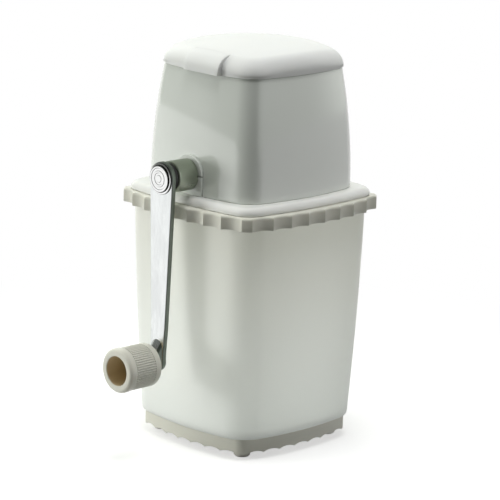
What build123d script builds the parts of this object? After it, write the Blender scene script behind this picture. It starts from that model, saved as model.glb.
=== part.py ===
from build123d import *
import os
from math import cos, hypot, radians, sin, sqrt

# Hand cranked ice shaver. Millimetres, +Z up. The pieces are drawn with the origin on
# the table under the middle of the body; save() moves them all along Y, so that in the
# files the origin lies under the middle of the whole, crank included. The crank is on
# the -Y side, the lid hinge on the +Y side. Seen from above every body outline is a
# square with sides that bow outwards and round corners.

# ---------------------------------------------------------------- fits and clearances
running_fit = 0.08        # radial, shafts and pins that turn in a bore
fixed_fit = 0.05          # between pieces that are pressed or screwed together
body_gap = 0.2            # between pieces of different bodies that rest on each other
wall_fit = 0.15           # between two curved walls that sit one in the other
blade_side_gap = 1.2      # between a rotor blade and the comb fingers beside it
blade_tip_gap = 1.0       # between the blade tips and the end of a comb slot
overshoot = 1.0           # how far a cut runs on past the face it leaves by

# ---------------------------------------------------------------- feet and base ring
foot_radius = 5.0
foot_height = 3.8         # from the table to the underside of the foot plate
foot_chamfer = 0.8
foot_peg_radius = 2.4
foot_inset = 14.7         # from the outside of the base ring in to the middle of a foot
base_ring_bottom = 3.4
base_ring_top = 12.6
base_ring_half = 51.2
base_ring_bow = 6.6
base_ring_corner = 9.0
base_ring_wall = 3.2
foot_plate_bottom = 5.6
foot_plate_thickness = 2.4
foot_plate_window = 30.0  # radius of the hole in the middle of the foot plate
arch_count = 7            # scallops along the lower edge of each side
arch_margin = 3.3         # plain stretch between the last scallop and the corner
arch_rise = 1.3

# ---------------------------------------------------------------- container
container_overhang = 2.4  # how far its foot stands out beyond the base ring
container_flare = 5.0     # how much further out the wall is at the rim than at the foot
container_height = 139.15
container_belly = 0.7     # how far the wall stands out of a straight line at mid height
container_bow = 5.8
container_corner = 20.0
container_wall = 2.4
container_floor = 2.6
container_edge_radius = 2.4
spigot_gap = 2.0          # between the spigot and the inside of the base ring
spigot_wall = 2.0
spigot_depth = 4.2

# ---------------------------------------------------------------- scalloped collar ring
collar_height = 8.2
collar_above_rim = 1.2
collar_stand = 6.4        # how far it stands out beyond the container
collar_bow = 7.8
collar_corner = 20.0
collar_flange = 3.4       # how far its top flange reaches in over the container rim
flute_count = 8           # scallops along each side
flute_margin = 4.8        # plain stretch between the last flute and the corner
flute_depth = 2.3

# ---------------------------------------------------------------- deck
deck_thickness = 4.7
deck_bow = 4.9
deck_corner = 12.0
deck_edge_radius = 4.1
deck_skirt_depth = 7.5
deck_skirt_wall = 2.2
deck_skirt_gap = 0.8      # between the skirt and the inside of the container
deck_skirt_bow = 5.6
deck_skirt_corner = 16.0
throat_side_gap = 7.5     # from the blade tips out to the side walls
throat_end_gap = 0.45     # from the rotor's ends out to the end walls
throat_corner = 3.0

# ---------------------------------------------------------------- hopper shell
hopper_inset = 7.7        # how far its foot stands in from the edge of the deck
hopper_height = 73.75
hopper_barrel_radius = 480.0
hopper_barrel_rise = 2.05  # above the foot the barrel wall stands upright
hopper_bow = 5.7
hopper_corner = 15.5
hopper_wall = 2.4
shelf_thickness = 3.2
rim_height = 2.9
rim_wall = 2.4
rim_gap = 0.8             # between the rim and the inside of the lid skirt
boss_radius = 11.7
boss_stand = 1.3          # how far the bearing boss stands out of the wall
boss_depth = 5.4
parting_gap = 0.5         # between the half round boss and the saddle under it
corner_post_inset = 3.8   # from the unrounded inner corner of the shell to the post
corner_post_radius = 4.5
corner_post_height = 12.0
corner_post_cap = 1.0     # left solid above the screw hole
shell_screw_clear = 3.0   # the screws end this far below the top of the posts

# ---------------------------------------------------------------- lid
lid_overhang = 0.655      # how far it stands out beyond the top of the hopper
lid_bow = 5.8
lid_corner = 16.0
lid_skirt_gap = 0.4       # between the hopper wall and the lower edge of the lid
lid_rise = 15.8           # from the top of the hopper to the crown of the lid
lid_crown_radius = 240.0
lid_edge_radius = 8.5
lid_wall = 2.2
tab_left = -10.7
tab_right = 22.0
tab_stand = 1.8
tab_depth = 13.0
hinge_stand = 3.8         # from the back of the lid out to the hinge line
hinge_drop = 0.1          # from the top of the hopper down to the hinge line
hinge_pin_radius = 1.5
hinge_knuckle_radius = 3.2
hinge_middle_half = 5.9   # half length of the knuckle on the hopper
hinge_outer_end = 15.0
hinge_side_gap = 0.4
hinge_web = 2.5

# ---------------------------------------------------------------- crank axis and shaft
axis_height = 12.4        # of the crank axis above the deck
shaft_radius = 4.0
shaft_square = 8.0
shaft_tail = 1.29         # length of shaft beyond the circlip
arm_square = 6.0
arm_square_proud = 0.2    # how far the square stands out of the arm
shoulder_gap = 0.1        # between the shoulder of the shaft and the arm
bush_radius = 7.0
bush_flange_radius = 8.8
bush_flange = 1.2
washer_thickness = 0.8
washer_radius = 7.6
circlip_thickness = 1.0
circlip_radius = 6.2
circlip_groove_depth = 0.6

# ---------------------------------------------------------------- chamber, rotor, combs
chamber_wall_x = 3.0
chamber_wall_y = 3.7
chamber_above_blades = 0.4
chamber_foot_reach = 8.0
chamber_foot_setback = 2.3  # of the ends of its feet from the inside of the end walls
chamber_foot_thickness = 3.5
ledge_reach = 5.0
ledge_drop = 2.9          # from the crank axis down to the ledges
ledge_thickness = 2.6
blade_count = 5
blade_pitch = 11.0
blade_thickness = 2.2
blade_tip_radius = 19.5
blade_root_radius = 9.0
blade_hub_radius = 9.5
tooth_angles = (-30, -4, 7, 22)  # degrees, of root, tip, tip, root going round a tooth
blade_tooth_count = 4
blade_stagger = 18.0      # degrees from one blade to the next
spacer_radius = 7.2
comb_thickness = 2.5
comb_finger_tip = 10.6    # distance of the finger tips from the crank axis
comb_screw_reach = 2.6    # from the chamber wall in to the comb screws
comb_screw_pitches = 1.5  # blade pitches from the middle of a comb to its screws

# ---------------------------------------------------------------- funnel
funnel_wall = 1.5
funnel_top_gap = 0.4      # between the funnel and the shelf of the hopper
funnel_flange = 1.0
funnel_flange_inset = 0.6
funnel_top_corner = 12.0
funnel_low_bow = 0.6
funnel_low_corner = 6.0

# ---------------------------------------------------------------- hub and crank arm
sleeve_radius = 9.6
sleeve_length = 14.8
sleeve_gap = 0.3          # between the turning sleeve and the boss
sleeve_bore_depth = 12.0
sleeve_bore_radius = 7.6
sleeve_outer_edge = 0.5   # chamfers of the sleeve
sleeve_inner_edge = 0.3
arm_washer_radius = 8.5
arm_washer_thickness = 3.1
arm_thickness = 3.3
arm_head_radius = 10.0
arm_foot_radius = 5.4
arm_throw = 112.9         # from the crank axis to the knob axis
arm_lean = 0.6            # how far the bar leans out over its straight length
arm_kick = 0.7            # how much further its lower end bends out
arm_kick_flat = 7.0       # height of the flat end of the bar above the knob axis
arm_kick_start = 21.0     # height above the knob axis at which that bend starts
arm_boss_reach = 6.3      # the raised boss that carries the knob pin
arm_boss_climb = 11.0     # length of the ramp that leads up to it
arm_boss_inset = 0.25     # from the edge of the bar in to the foot of the boss
arm_boss_radius = 4.3
cap_rear_radius = 9.6
cap_rear_thickness = 0.9
cap_front_radius = 8.4
cap_front_thickness = 1.0
cap_relief = 0.3
cap_edge = 0.3            # chamfer round both caps
cap_grooves = [(6.6, 4.7), (3.7, 2.0)]  # outer and inner radius of the rings in the cap
bolt_head_radius = 4.1
bolt_radius = 2.0
bolt_length = 10.0
bolt_bore_spare = 1.0     # depth of the thread hole beyond the bolt

# ---------------------------------------------------------------- knob
knob_length = 25.2
knob_rim_radius = 13.6
knob_rim_width = 5.4
knob_body_radius = 13.2
knob_rim_round = 2.2
knob_tail_round = 1.6
knob_tail_plain = 4.8     # length behind the ribs
knob_groove = 0.7
knob_bore_radius = 9.0
knob_bore_depth = 15.4
knob_rib_count = 56
knob_rib_depth = 0.45
knob_gap = 0.3            # between the knob and the arm
pin_radius = 3.0
pin_head_radius = 4.5
pin_head_thickness = 1.2
pin_head_edge = 0.4
pin_proud = 0.3           # the pin stands this far out of the knob floor
knob_washer_radius = 6.8
knob_screw_head_radius = 4.4
knob_screw_head = 2.3
knob_screw_crown = 0.5    # height of the rounded part of the head
knob_screw_top_radius = 3.4
knob_screw_slot = (1.0, 1.1)  # width and depth
knob_screw_radius = 1.9
knob_screw_length = 9.0
knob_screw_bore_spare = 1.0  # depth of the thread hole beyond the screw

# ---------------------------------------------------------------- screws
screw_radius = 1.6
screw_head_radius = 3.0
screw_head = 2.0
chamber_screw_reach = 7.0     # out from the side walls of the throat
chamber_screw_setback = 8.3   # in from the end walls of the throat
comb_screw_radius = 1.2
comb_screw_head_radius = 1.9
comb_screw_head = 1.1

# ---------------------------------------------------------------- sizes worked out
foot_place = base_ring_half - foot_inset
arch_pitch = 2 * (base_ring_half - base_ring_bow - arch_margin) / arch_count
container_bottom_half = base_ring_half + container_overhang
container_top_half = container_bottom_half + container_flare
container_bottom = base_ring_top + fixed_fit
container_rim = container_bottom + container_height
spigot_half = base_ring_half - base_ring_wall - spigot_gap
collar_top = container_rim + collar_above_rim
collar_bottom = collar_top - collar_height
collar_half = container_top_half + collar_stand
flute_pitch = 2 * (collar_half - collar_bow - flute_margin) / flute_count
deck_half = container_top_half
deck_skirt_half = container_top_half - max(container_wall, collar_flange) - deck_skirt_gap
deck_bottom = collar_top + body_gap
deck_top = deck_bottom + deck_thickness
axis_z = deck_top + axis_height
rotor_half = (blade_count - 1) / 2 * blade_pitch
spacer_length = blade_pitch - blade_thickness - 2 * fixed_fit
square_half = rotor_half + blade_thickness / 2 + fixed_fit + spacer_length
throat_half_x = blade_tip_radius + throat_side_gap
throat_half_y = square_half + throat_end_gap
chamber_outer_x = throat_half_x + chamber_wall_x
chamber_outer_y = throat_half_y + chamber_wall_y
chamber_bottom = deck_top + fixed_fit
chamber_top = axis_z + blade_tip_radius + chamber_above_blades
chamber_foot_half_y = throat_half_y - chamber_foot_setback
chamber_screw_x = throat_half_x + chamber_screw_reach
chamber_screw_y = throat_half_y - chamber_screw_setback
ledge_top = axis_z - ledge_drop
comb_screw_x = throat_half_x - comb_screw_reach
comb_screw_y = comb_screw_pitches * blade_pitch
hopper_foot_half = deck_half - hopper_inset
hopper_bottom = deck_top + fixed_fit
hopper_top = hopper_bottom + hopper_height
hopper_barrel_foot = hopper_bottom + hopper_barrel_rise
hopper_narrowing = (hopper_top - hopper_barrel_foot) ** 2 / (2 * hopper_barrel_radius)
corner_post_place = hopper_foot_half - hopper_wall - hopper_bow - corner_post_inset
lid_half = hopper_foot_half - hopper_narrowing + lid_overhang
lid_bottom = hopper_top + lid_skirt_gap
lid_crown_top = hopper_top + lid_rise
hinge_y = lid_half + hinge_stand
hinge_z = hopper_top - hinge_drop
rim_half = lid_half - lid_wall - rim_gap
rim_top = hopper_top + rim_height
shelf_half = rim_half - rim_wall
boss_level = (axis_z - hopper_barrel_foot) ** 2 / (2 * hopper_barrel_radius)
boss_face = -(hopper_foot_half - boss_level + boss_stand)
bush_bore = shaft_radius + running_fit
far_flange_face = chamber_outer_y + fixed_fit + bush_flange
circlip_face = far_flange_face + running_fit + washer_thickness + running_fit
shaft_far_end = circlip_face + circlip_thickness + shaft_tail
sleeve_inner_end = boss_face - sleeve_gap
sleeve_outer_end = sleeve_inner_end - sleeve_length
arm_washer_face = sleeve_outer_end - arm_washer_thickness - fixed_fit
arm_back = arm_washer_face - fixed_fit
arm_front = arm_back - arm_thickness
cap_rear_face = arm_front - fixed_fit - cap_rear_thickness
knob_z = axis_z - arm_throw
arm_low_back = arm_back - arm_lean - arm_kick
arm_low_front = arm_low_back - arm_thickness
arm_seat = arm_low_front - arm_boss_reach
knob_tail = arm_seat - knob_gap
knob_face = knob_tail - knob_length
knob_floor = knob_face + knob_bore_depth
frame_shift = -(knob_face + collar_half) / 2


def bowed_outline(half_x, half_y, bow, corner):
    """Outline of a rectangle whose sides bow outwards by bow, corners rounded."""
    corner_x = half_x - bow
    corner_y = half_y - bow
    with BuildSketch(mode=Mode.PRIVATE) as outline:
        with BuildLine():
            ThreePointArc((corner_x, -corner_y), (half_x, 0), (corner_x, corner_y))
            ThreePointArc((corner_x, corner_y), (0, half_y), (-corner_x, corner_y))
            ThreePointArc((-corner_x, corner_y), (-half_x, 0), (-corner_x, -corner_y))
            ThreePointArc((-corner_x, -corner_y), (0, -half_y), (corner_x, -corner_y))
        make_face()
        fillet(outline.vertices(), corner)
    return outline.sketch


def bowed_square(half, bow, corner):
    """Outline of a square whose sides bow outwards by bow, corners rounded."""
    return bowed_outline(half, half, bow, corner)


def container_half(level):
    """Half width of the container's outside at a level."""
    share = (level - container_bottom) / (container_rim - container_bottom)
    straight = container_bottom_half + (container_top_half - container_bottom_half) * share
    return straight + container_belly * 4 * share * (1 - share)


def hopper_half(level):
    """Half width of the hopper's outside at a level."""
    return hopper_foot_half - (level - hopper_barrel_foot) ** 2 / (2 * hopper_barrel_radius)


def container_levels(low, high):
    """Levels for the sections of the container wall."""
    return [low + (high - low) * share for share in (0, 0.33, 0.67, 1)]


def crank_plane(distance):
    """Plane across the crank axis at Y = distance, local axes +X and +Z, facing -Y."""
    return Plane.XZ.offset(-distance)


def turned(profile, height):
    """Solid turned about the line along Y at a height, from (Y, radius) points."""
    with BuildPart(mode=Mode.PRIVATE) as solid:
        with BuildSketch(Plane.YZ):
            with BuildLine():
                Polyline([(y, height + radius) for y, radius in profile], close=True)
            make_face()
        revolve(axis=Axis((0, 0, height), (0, 1, 0)))
    return solid.part


def save(solid, name):
    """Move one sub-part into the frame of the whole and write it under its name."""
    placed = solid.moved(Location((0, frame_shift, 0)))
    placed.label = name
    export_step(placed, f"parts/{name}.step")


os.makedirs("parts", exist_ok=True)

# ================================================================ feet
with BuildPart() as feet:
    with BuildSketch():
        with GridLocations(2 * foot_place, 2 * foot_place, 2, 2):
            Circle(foot_radius)
    extrude(amount=foot_plate_bottom - fixed_fit)
    chamfer(feet.edges().group_by(Axis.Z)[0], foot_chamfer)
    with BuildSketch(Plane.XY.offset(foot_plate_bottom - fixed_fit)):
        with GridLocations(2 * foot_place, 2 * foot_place, 2, 2):
            Circle(foot_peg_radius)
    extrude(amount=foot_plate_thickness)
save(feet.part, "feet")

# ================================================================ base ring
with BuildPart() as base_ring:
    with BuildSketch(Plane.XY.offset(base_ring_bottom)):
        add(bowed_square(base_ring_half, base_ring_bow, base_ring_corner))
        add(bowed_square(base_ring_half - base_ring_wall, base_ring_bow,
                         base_ring_corner - base_ring_wall), mode=Mode.SUBTRACT)
    extrude(amount=base_ring_top - base_ring_bottom)
    with BuildSketch(Plane.XY.offset(foot_plate_bottom)):
        add(bowed_square(base_ring_half - base_ring_wall / 2, base_ring_bow, base_ring_corner))
        Circle(foot_plate_window, mode=Mode.SUBTRACT)
        with GridLocations(2 * foot_place, 2 * foot_place, 2, 2):
            Circle(foot_peg_radius + fixed_fit, mode=Mode.SUBTRACT)
    extrude(amount=foot_plate_thickness)
    arch_radius = ((arch_pitch / 2) ** 2 + arch_rise ** 2) / (2 * arch_rise)
    arch_centre = base_ring_bottom + arch_rise - arch_radius
    for wall_plane in (Plane.XZ, Plane.YZ):
        with BuildSketch(wall_plane):
            with Locations((0, arch_centre)):
                with GridLocations(arch_pitch, 0, arch_count, 1):
                    Circle(arch_radius)
        extrude(amount=2 * base_ring_half, both=True, mode=Mode.SUBTRACT)
save(base_ring.part, "base_ring")

# ================================================================ container
with BuildPart() as container:
    for level in container_levels(container_bottom, container_rim):
        with BuildSketch(Plane.XY.offset(level)):
            add(bowed_square(container_half(level), container_bow, container_corner))
    loft()
    fillet(container.edges().group_by(Axis.Z)[0], container_edge_radius)
    for level in container_levels(container_bottom + container_floor, container_rim + overshoot):
        with BuildSketch(Plane.XY.offset(level)):
            add(bowed_square(container_half(level) - container_wall, container_bow,
                             container_corner - container_wall))
    loft(mode=Mode.SUBTRACT)
    with BuildSketch(Plane.XY.offset(container_bottom)):
        add(bowed_square(spigot_half, base_ring_bow, base_ring_corner))
        add(bowed_square(spigot_half - spigot_wall, base_ring_bow, base_ring_corner),
            mode=Mode.SUBTRACT)
    extrude(amount=-spigot_depth)
save(container.part, "container")


# ================================================================ scalloped collar ring
def fluted_outline(half, bow, corner):
    """Bowed square with concave flutes that meet in sharp ridges along each side."""
    reach = half - bow
    side_radius = (reach ** 2 + bow ** 2) / (2 * bow)
    with BuildSketch(mode=Mode.PRIVATE) as outline:
        add(bowed_square(half, bow, corner))
        for side in range(4):
            for flute in range(flute_count):
                ridges = [(flute + end - flute_count / 2) * flute_pitch for end in (0, 1)]
                heights = [half - side_radius + sqrt(side_radius ** 2 - r ** 2) for r in ridges]
                chord = hypot(ridges[1] - ridges[0], heights[1] - heights[0])
                flute_radius = ((chord / 2) ** 2 + flute_depth ** 2) / (2 * flute_depth)
                stand_off = flute_radius - flute_depth
                centre_x = sum(heights) / 2 + (ridges[1] - ridges[0]) / chord * stand_off
                centre_y = sum(ridges) / 2 - (heights[1] - heights[0]) / chord * stand_off
                with Locations(Vector(centre_x, centre_y).rotate(Axis.Z, 90 * side)):
                    Circle(flute_radius, mode=Mode.SUBTRACT)
    return outline.sketch


with BuildPart() as collar_ring:
    with BuildSketch(Plane.XY.offset(collar_bottom)):
        add(fluted_outline(collar_half, collar_bow, collar_corner))
        add(bowed_square(container_top_half + wall_fit, container_bow, container_corner),
            mode=Mode.SUBTRACT)
    extrude(amount=collar_top - collar_bottom)
    with BuildSketch(Plane.XY.offset(container_rim + fixed_fit)):
        add(bowed_square(container_top_half + 2 * wall_fit, container_bow, container_corner))
        add(bowed_square(container_top_half - collar_flange, container_bow,
                         container_corner - collar_flange), mode=Mode.SUBTRACT)
    extrude(amount=collar_top - container_rim - fixed_fit)
save(collar_ring.part, "collar_ring")

# ================================================================ deck
with BuildPart() as deck:
    with BuildSketch(Plane.XY.offset(deck_bottom)):
        add(bowed_square(deck_half, deck_bow, deck_corner))
    extrude(amount=deck_thickness)
    fillet(deck.edges().group_by(Axis.Z)[-1], deck_edge_radius)
    with BuildSketch(Plane.XY.offset(deck_bottom)):
        add(bowed_square(deck_skirt_half, deck_skirt_bow, deck_skirt_corner))
        add(bowed_square(deck_skirt_half - deck_skirt_wall, deck_skirt_bow,
                         deck_skirt_corner - deck_skirt_wall), mode=Mode.SUBTRACT)
    extrude(amount=-deck_skirt_depth)
    with BuildSketch(Plane.XY.offset(deck_bottom)):
        RectangleRounded(2 * throat_half_x, 2 * throat_half_y, throat_corner)
        with GridLocations(2 * chamber_screw_x, 2 * chamber_screw_y, 2, 2):
            Circle(screw_radius + fixed_fit)
        with GridLocations(2 * corner_post_place, 2 * corner_post_place, 2, 2):
            Circle(screw_radius + fixed_fit)
    extrude(amount=deck_thickness, mode=Mode.SUBTRACT)
save(deck.part, "deck")

# ================================================================ hopper shell
with BuildPart() as hopper_shell:
    for level in container_levels(hopper_bottom, hopper_top):
        with BuildSketch(Plane.XY.offset(level)):
            add(bowed_square(hopper_half(level), hopper_bow, hopper_corner))
    loft()
    for level in container_levels(hopper_bottom - overshoot, hopper_top + overshoot):
        with BuildSketch(Plane.XY.offset(level)):
            add(bowed_square(hopper_half(level) - hopper_wall, hopper_bow,
                             hopper_corner - hopper_wall))
    loft(mode=Mode.SUBTRACT)
    # shelf that carries the upright rim inside the lid
    with BuildSketch(Plane.XY.offset(hopper_top)):
        add(bowed_square(hopper_half(hopper_top) - hopper_wall / 2, hopper_bow, hopper_corner))
        add(bowed_square(shelf_half, hopper_bow, funnel_top_corner), mode=Mode.SUBTRACT)
    extrude(amount=-shelf_thickness)
    with BuildSketch(Plane.XY.offset(hopper_top)):
        add(bowed_square(rim_half, hopper_bow, funnel_top_corner + rim_wall))
        add(bowed_square(shelf_half, hopper_bow, funnel_top_corner), mode=Mode.SUBTRACT)
    extrude(amount=rim_height)
    # posts for the screws that come up through the deck
    with BuildSketch(Plane.XY.offset(hopper_bottom)):
        with GridLocations(2 * corner_post_place, 2 * corner_post_place, 2, 2):
            Circle(corner_post_radius)
    extrude(amount=corner_post_height)
    with BuildSketch(Plane.XY.offset(hopper_bottom)):
        with GridLocations(2 * corner_post_place, 2 * corner_post_place, 2, 2):
            Circle(screw_radius + fixed_fit)
    extrude(amount=corner_post_height - corner_post_cap, mode=Mode.SUBTRACT)
    # half round boss over the crank shaft, and the slot under it for the saddle
    with BuildSketch(crank_plane(boss_face + boss_depth)):
        with Locations((0, axis_z)):
            Circle(boss_radius)
    extrude(amount=boss_depth)
    with BuildSketch(crank_plane(boss_face + 2 * boss_depth)):
        slot_top = axis_z + parting_gap / 2
        slot_foot = hopper_bottom - overshoot
        with Locations((0, (slot_top + slot_foot) / 2)):
            Rectangle(2 * (boss_radius + wall_fit), slot_top - slot_foot)
        with Locations((0, axis_z)):
            Circle(bush_radius + fixed_fit)
    extrude(amount=3 * boss_depth, mode=Mode.SUBTRACT)
    # middle knuckle of the lid hinge
    with BuildSketch(Plane.YZ):
        with Locations((hinge_y, hinge_z)):
            Circle(hinge_knuckle_radius)
        with Locations(((hinge_y + lid_half - lid_wall) / 2,
                        hinge_z - hinge_knuckle_radius + hinge_web / 2)):
            Rectangle(hinge_y - lid_half + lid_wall, hinge_web)
    extrude(amount=hinge_middle_half, both=True)
    with BuildSketch(Plane.YZ):
        with Locations((hinge_y, hinge_z)):
            Circle(hinge_pin_radius + fixed_fit)
    extrude(amount=hinge_middle_half, both=True, mode=Mode.SUBTRACT)
save(hopper_shell.part, "hopper_shell")

# ================================================================ bearing saddle
with BuildPart() as bearing_saddle:
    saddle_top = axis_z - parting_gap / 2
    with BuildSketch(crank_plane(boss_face + boss_depth)):
        with Locations((0, (saddle_top + hopper_bottom) / 2)):
            Rectangle(2 * boss_radius, saddle_top - hopper_bottom)
        with Locations((0, axis_z)):
            Circle(bush_radius + fixed_fit, mode=Mode.SUBTRACT)
    extrude(amount=boss_depth)
save(bearing_saddle.part, "bearing_saddle")

# ================================================================ bushes
inner_flange_face = -(chamber_outer_y + fixed_fit + bush_flange)
save(turned([
    (boss_face + fixed_fit, bush_bore),
    (boss_face + fixed_fit, bush_radius),
    (boss_face + boss_depth + fixed_fit, bush_radius),
    (boss_face + boss_depth + fixed_fit, bush_flange_radius),
    (boss_face + boss_depth + fixed_fit + bush_flange, bush_flange_radius),
    (boss_face + boss_depth + fixed_fit + bush_flange, bush_bore),
], axis_z), "outer_bush")
save(turned([
    (inner_flange_face, bush_bore),
    (inner_flange_face, bush_flange_radius),
    (inner_flange_face + bush_flange, bush_flange_radius),
    (inner_flange_face + bush_flange, bush_radius),
    (-throat_half_y - fixed_fit, bush_radius),
    (-throat_half_y - fixed_fit, bush_bore),
], axis_z), "inner_bush")
save(turned([
    (throat_half_y + fixed_fit, bush_bore),
    (throat_half_y + fixed_fit, bush_radius),
    (chamber_outer_y + fixed_fit, bush_radius),
    (chamber_outer_y + fixed_fit, bush_flange_radius),
    (far_flange_face, bush_flange_radius),
    (far_flange_face, bush_bore),
], axis_z), "far_bush")

# ================================================================ crushing chamber
with BuildPart() as crushing_chamber:
    with BuildSketch(Plane.XY.offset(chamber_bottom)):
        Rectangle(2 * chamber_outer_x, 2 * chamber_outer_y)
        Rectangle(2 * throat_half_x, 2 * throat_half_y, mode=Mode.SUBTRACT)
    extrude(amount=chamber_top - chamber_bottom)
    with BuildSketch(Plane.XY.offset(chamber_bottom)):
        Rectangle(2 * (chamber_outer_x + chamber_foot_reach), 2 * chamber_foot_half_y)
        Rectangle(2 * throat_half_x, 2 * throat_half_y, mode=Mode.SUBTRACT)
        with GridLocations(2 * chamber_screw_x, 2 * chamber_screw_y, 2, 2):
            Circle(screw_radius + fixed_fit, mode=Mode.SUBTRACT)
    extrude(amount=chamber_foot_thickness)
    with BuildSketch(Plane.XY.offset(ledge_top)):
        Rectangle(2 * throat_half_x, 2 * throat_half_y)
        Rectangle(2 * (throat_half_x - ledge_reach), 2 * throat_half_y, mode=Mode.SUBTRACT)
        with GridLocations(2 * comb_screw_x, 2 * comb_screw_y, 2, 2):
            Circle(comb_screw_radius + fixed_fit, mode=Mode.SUBTRACT)
    extrude(amount=-ledge_thickness)
    with BuildSketch(Plane.XZ):
        with Locations((0, axis_z)):
            Circle(bush_radius + fixed_fit)
    extrude(amount=2 * chamber_outer_y, both=True, mode=Mode.SUBTRACT)
save(crushing_chamber.part, "crushing_chamber")

# ================================================================ comb plates
comb_root = throat_half_x - fixed_fit
slot_end = blade_tip_radius + blade_tip_gap
for side, comb_name in ((-1, "comb_left"), (1, "comb_right")):
    with BuildPart() as comb:
        with BuildSketch(Plane.XY.offset(ledge_top + fixed_fit)):
            with Locations((side * (comb_root + comb_finger_tip) / 2, 0)):
                Rectangle(comb_root - comb_finger_tip, 2 * (throat_half_y - fixed_fit))
            with Locations((side * slot_end / 2, 0)):
                with GridLocations(0, blade_pitch, 1, blade_count):
                    Rectangle(slot_end, blade_thickness + 2 * blade_side_gap, mode=Mode.SUBTRACT)
            with Locations((side * comb_screw_x, 0)):
                with GridLocations(0, 2 * comb_screw_y, 1, 2):
                    Circle(comb_screw_radius + fixed_fit, mode=Mode.SUBTRACT)
        extrude(amount=comb_thickness)
    save(comb.part, comb_name)

# ================================================================ screws of the upper part
with BuildPart() as comb_screws:
    comb_top = ledge_top + 2 * fixed_fit + comb_thickness
    with BuildSketch(Plane.XY.offset(comb_top)):
        with GridLocations(2 * comb_screw_x, 2 * comb_screw_y, 2, 2):
            Circle(comb_screw_head_radius)
    extrude(amount=comb_screw_head)
    with BuildSketch(Plane.XY.offset(comb_top)):
        with GridLocations(2 * comb_screw_x, 2 * comb_screw_y, 2, 2):
            Circle(comb_screw_radius)
    extrude(amount=-(comb_thickness + ledge_thickness))
save(comb_screws.part, "comb_screws")

for screw_name, place_x, place_y, screw_length in (
    ("chamber_screws", chamber_screw_x, chamber_screw_y, deck_thickness + chamber_foot_thickness),
    ("shell_screws", corner_post_place, corner_post_place,
     deck_thickness + corner_post_height - shell_screw_clear),
):
    with BuildPart() as deck_screws:
        with BuildSketch(Plane.XY.offset(deck_bottom - fixed_fit)):
            with GridLocations(2 * place_x, 2 * place_y, 2, 2):
                Circle(screw_head_radius)
        extrude(amount=-screw_head)
        with BuildSketch(Plane.XY.offset(deck_bottom - fixed_fit)):
            with GridLocations(2 * place_x, 2 * place_y, 2, 2):
                Circle(screw_radius)
        extrude(amount=screw_length)
    save(deck_screws.part, screw_name)

# ================================================================ funnel
funnel_sections = [
    (chamber_top + fixed_fit, chamber_outer_x, chamber_outer_y, funnel_low_bow, funnel_low_corner),
    (rim_top + fixed_fit, shelf_half - funnel_top_gap, shelf_half - funnel_top_gap,
     hopper_bow, funnel_top_corner),
]
with BuildPart() as funnel:
    for level, half_x, half_y, bow, corner in funnel_sections:
        with BuildSketch(Plane.XY.offset(level)):
            add(bowed_outline(half_x, half_y, bow, corner))
    loft()
    with BuildSketch(Plane.XY.offset(rim_top + fixed_fit)):
        add(bowed_square(rim_half - funnel_flange_inset, hopper_bow, funnel_top_corner + rim_wall))
    extrude(amount=funnel_flange)
    for level, half_x, half_y, bow, corner in funnel_sections:
        with BuildSketch(Plane.XY.offset(level)):
            add(bowed_outline(half_x - funnel_wall, half_y - funnel_wall, bow,
                              corner - funnel_wall))
    loft(mode=Mode.SUBTRACT)
    with BuildSketch(Plane.XY.offset(rim_top + fixed_fit)):
        add(bowed_square(shelf_half - funnel_top_gap - funnel_wall, hopper_bow,
                         funnel_top_corner - funnel_wall))
    extrude(amount=funnel_flange, mode=Mode.SUBTRACT)
save(funnel.part, "funnel")


# ================================================================ lid
def crowned_block(plan, bottom, top, crown_radius, edge_radius):
    """Upright block of a plan outline under a shallow dome, its top edge rounded."""
    with BuildPart(mode=Mode.PRIVATE) as block:
        with BuildSketch(Plane.XY.offset(bottom)):
            add(plan)
        extrude(amount=top - bottom + overshoot)
        with Locations((0, 0, top - crown_radius)):
            Sphere(crown_radius, mode=Mode.INTERSECT)
        fillet(block.edges().filter_by(lambda edge: edge.center().Z > bottom + overshoot)
               .filter_by(Axis.Z, reverse=True), edge_radius)
    return block.part


with BuildSketch() as tab_plan:
    with Locations(((tab_left + tab_right) / 2, -lid_half - tab_stand + tab_depth / 2)):
        Rectangle(tab_right - tab_left, tab_depth)
with BuildPart(mode=Mode.PRIVATE) as tab_block:
    with BuildSketch(Plane.XY.offset(lid_bottom)):
        add(tab_plan.sketch)
    extrude(amount=lid_crown_top - lid_bottom + overshoot)
    with Locations((0, 0, lid_crown_top - lid_crown_radius)):
        Sphere(lid_crown_radius, mode=Mode.INTERSECT)
    fillet(tab_block.edges().group_by(Axis.Y)[0].sort_by(Axis.Z)[-1], lid_edge_radius)
lid_body = crowned_block(bowed_square(lid_half, lid_bow, lid_corner), lid_bottom,
                         lid_crown_top, lid_crown_radius, lid_edge_radius)
lid_hollow = crowned_block(bowed_square(lid_half - lid_wall, lid_bow, lid_corner - lid_wall),
                           lid_bottom - overshoot, lid_crown_top - lid_wall,
                           lid_crown_radius - lid_wall, lid_edge_radius - lid_wall)
with BuildPart() as lid:
    add(lid_body)
    add(tab_block.part)
    knuckle_length = hinge_outer_end - hinge_middle_half - hinge_side_gap
    for side in (-1, 1):
        knuckle_middle = side * (hinge_outer_end - knuckle_length / 2)
        with BuildSketch(Plane.YZ.offset(knuckle_middle)):
            with Locations((hinge_y, hinge_z)):
                Circle(hinge_knuckle_radius)
            with Locations(((hinge_y + lid_half - lid_wall) / 2,
                            hinge_z + hinge_knuckle_radius - hinge_web / 2)):
                Rectangle(hinge_y - lid_half + lid_wall, hinge_web)
        extrude(amount=knuckle_length / 2, both=True)
        with BuildSketch(Plane.YZ.offset(knuckle_middle)):
            with Locations((hinge_y, hinge_z)):
                Circle(hinge_pin_radius + running_fit)
        extrude(amount=knuckle_length / 2, both=True, mode=Mode.SUBTRACT)
    add(lid_hollow, mode=Mode.SUBTRACT)
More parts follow.
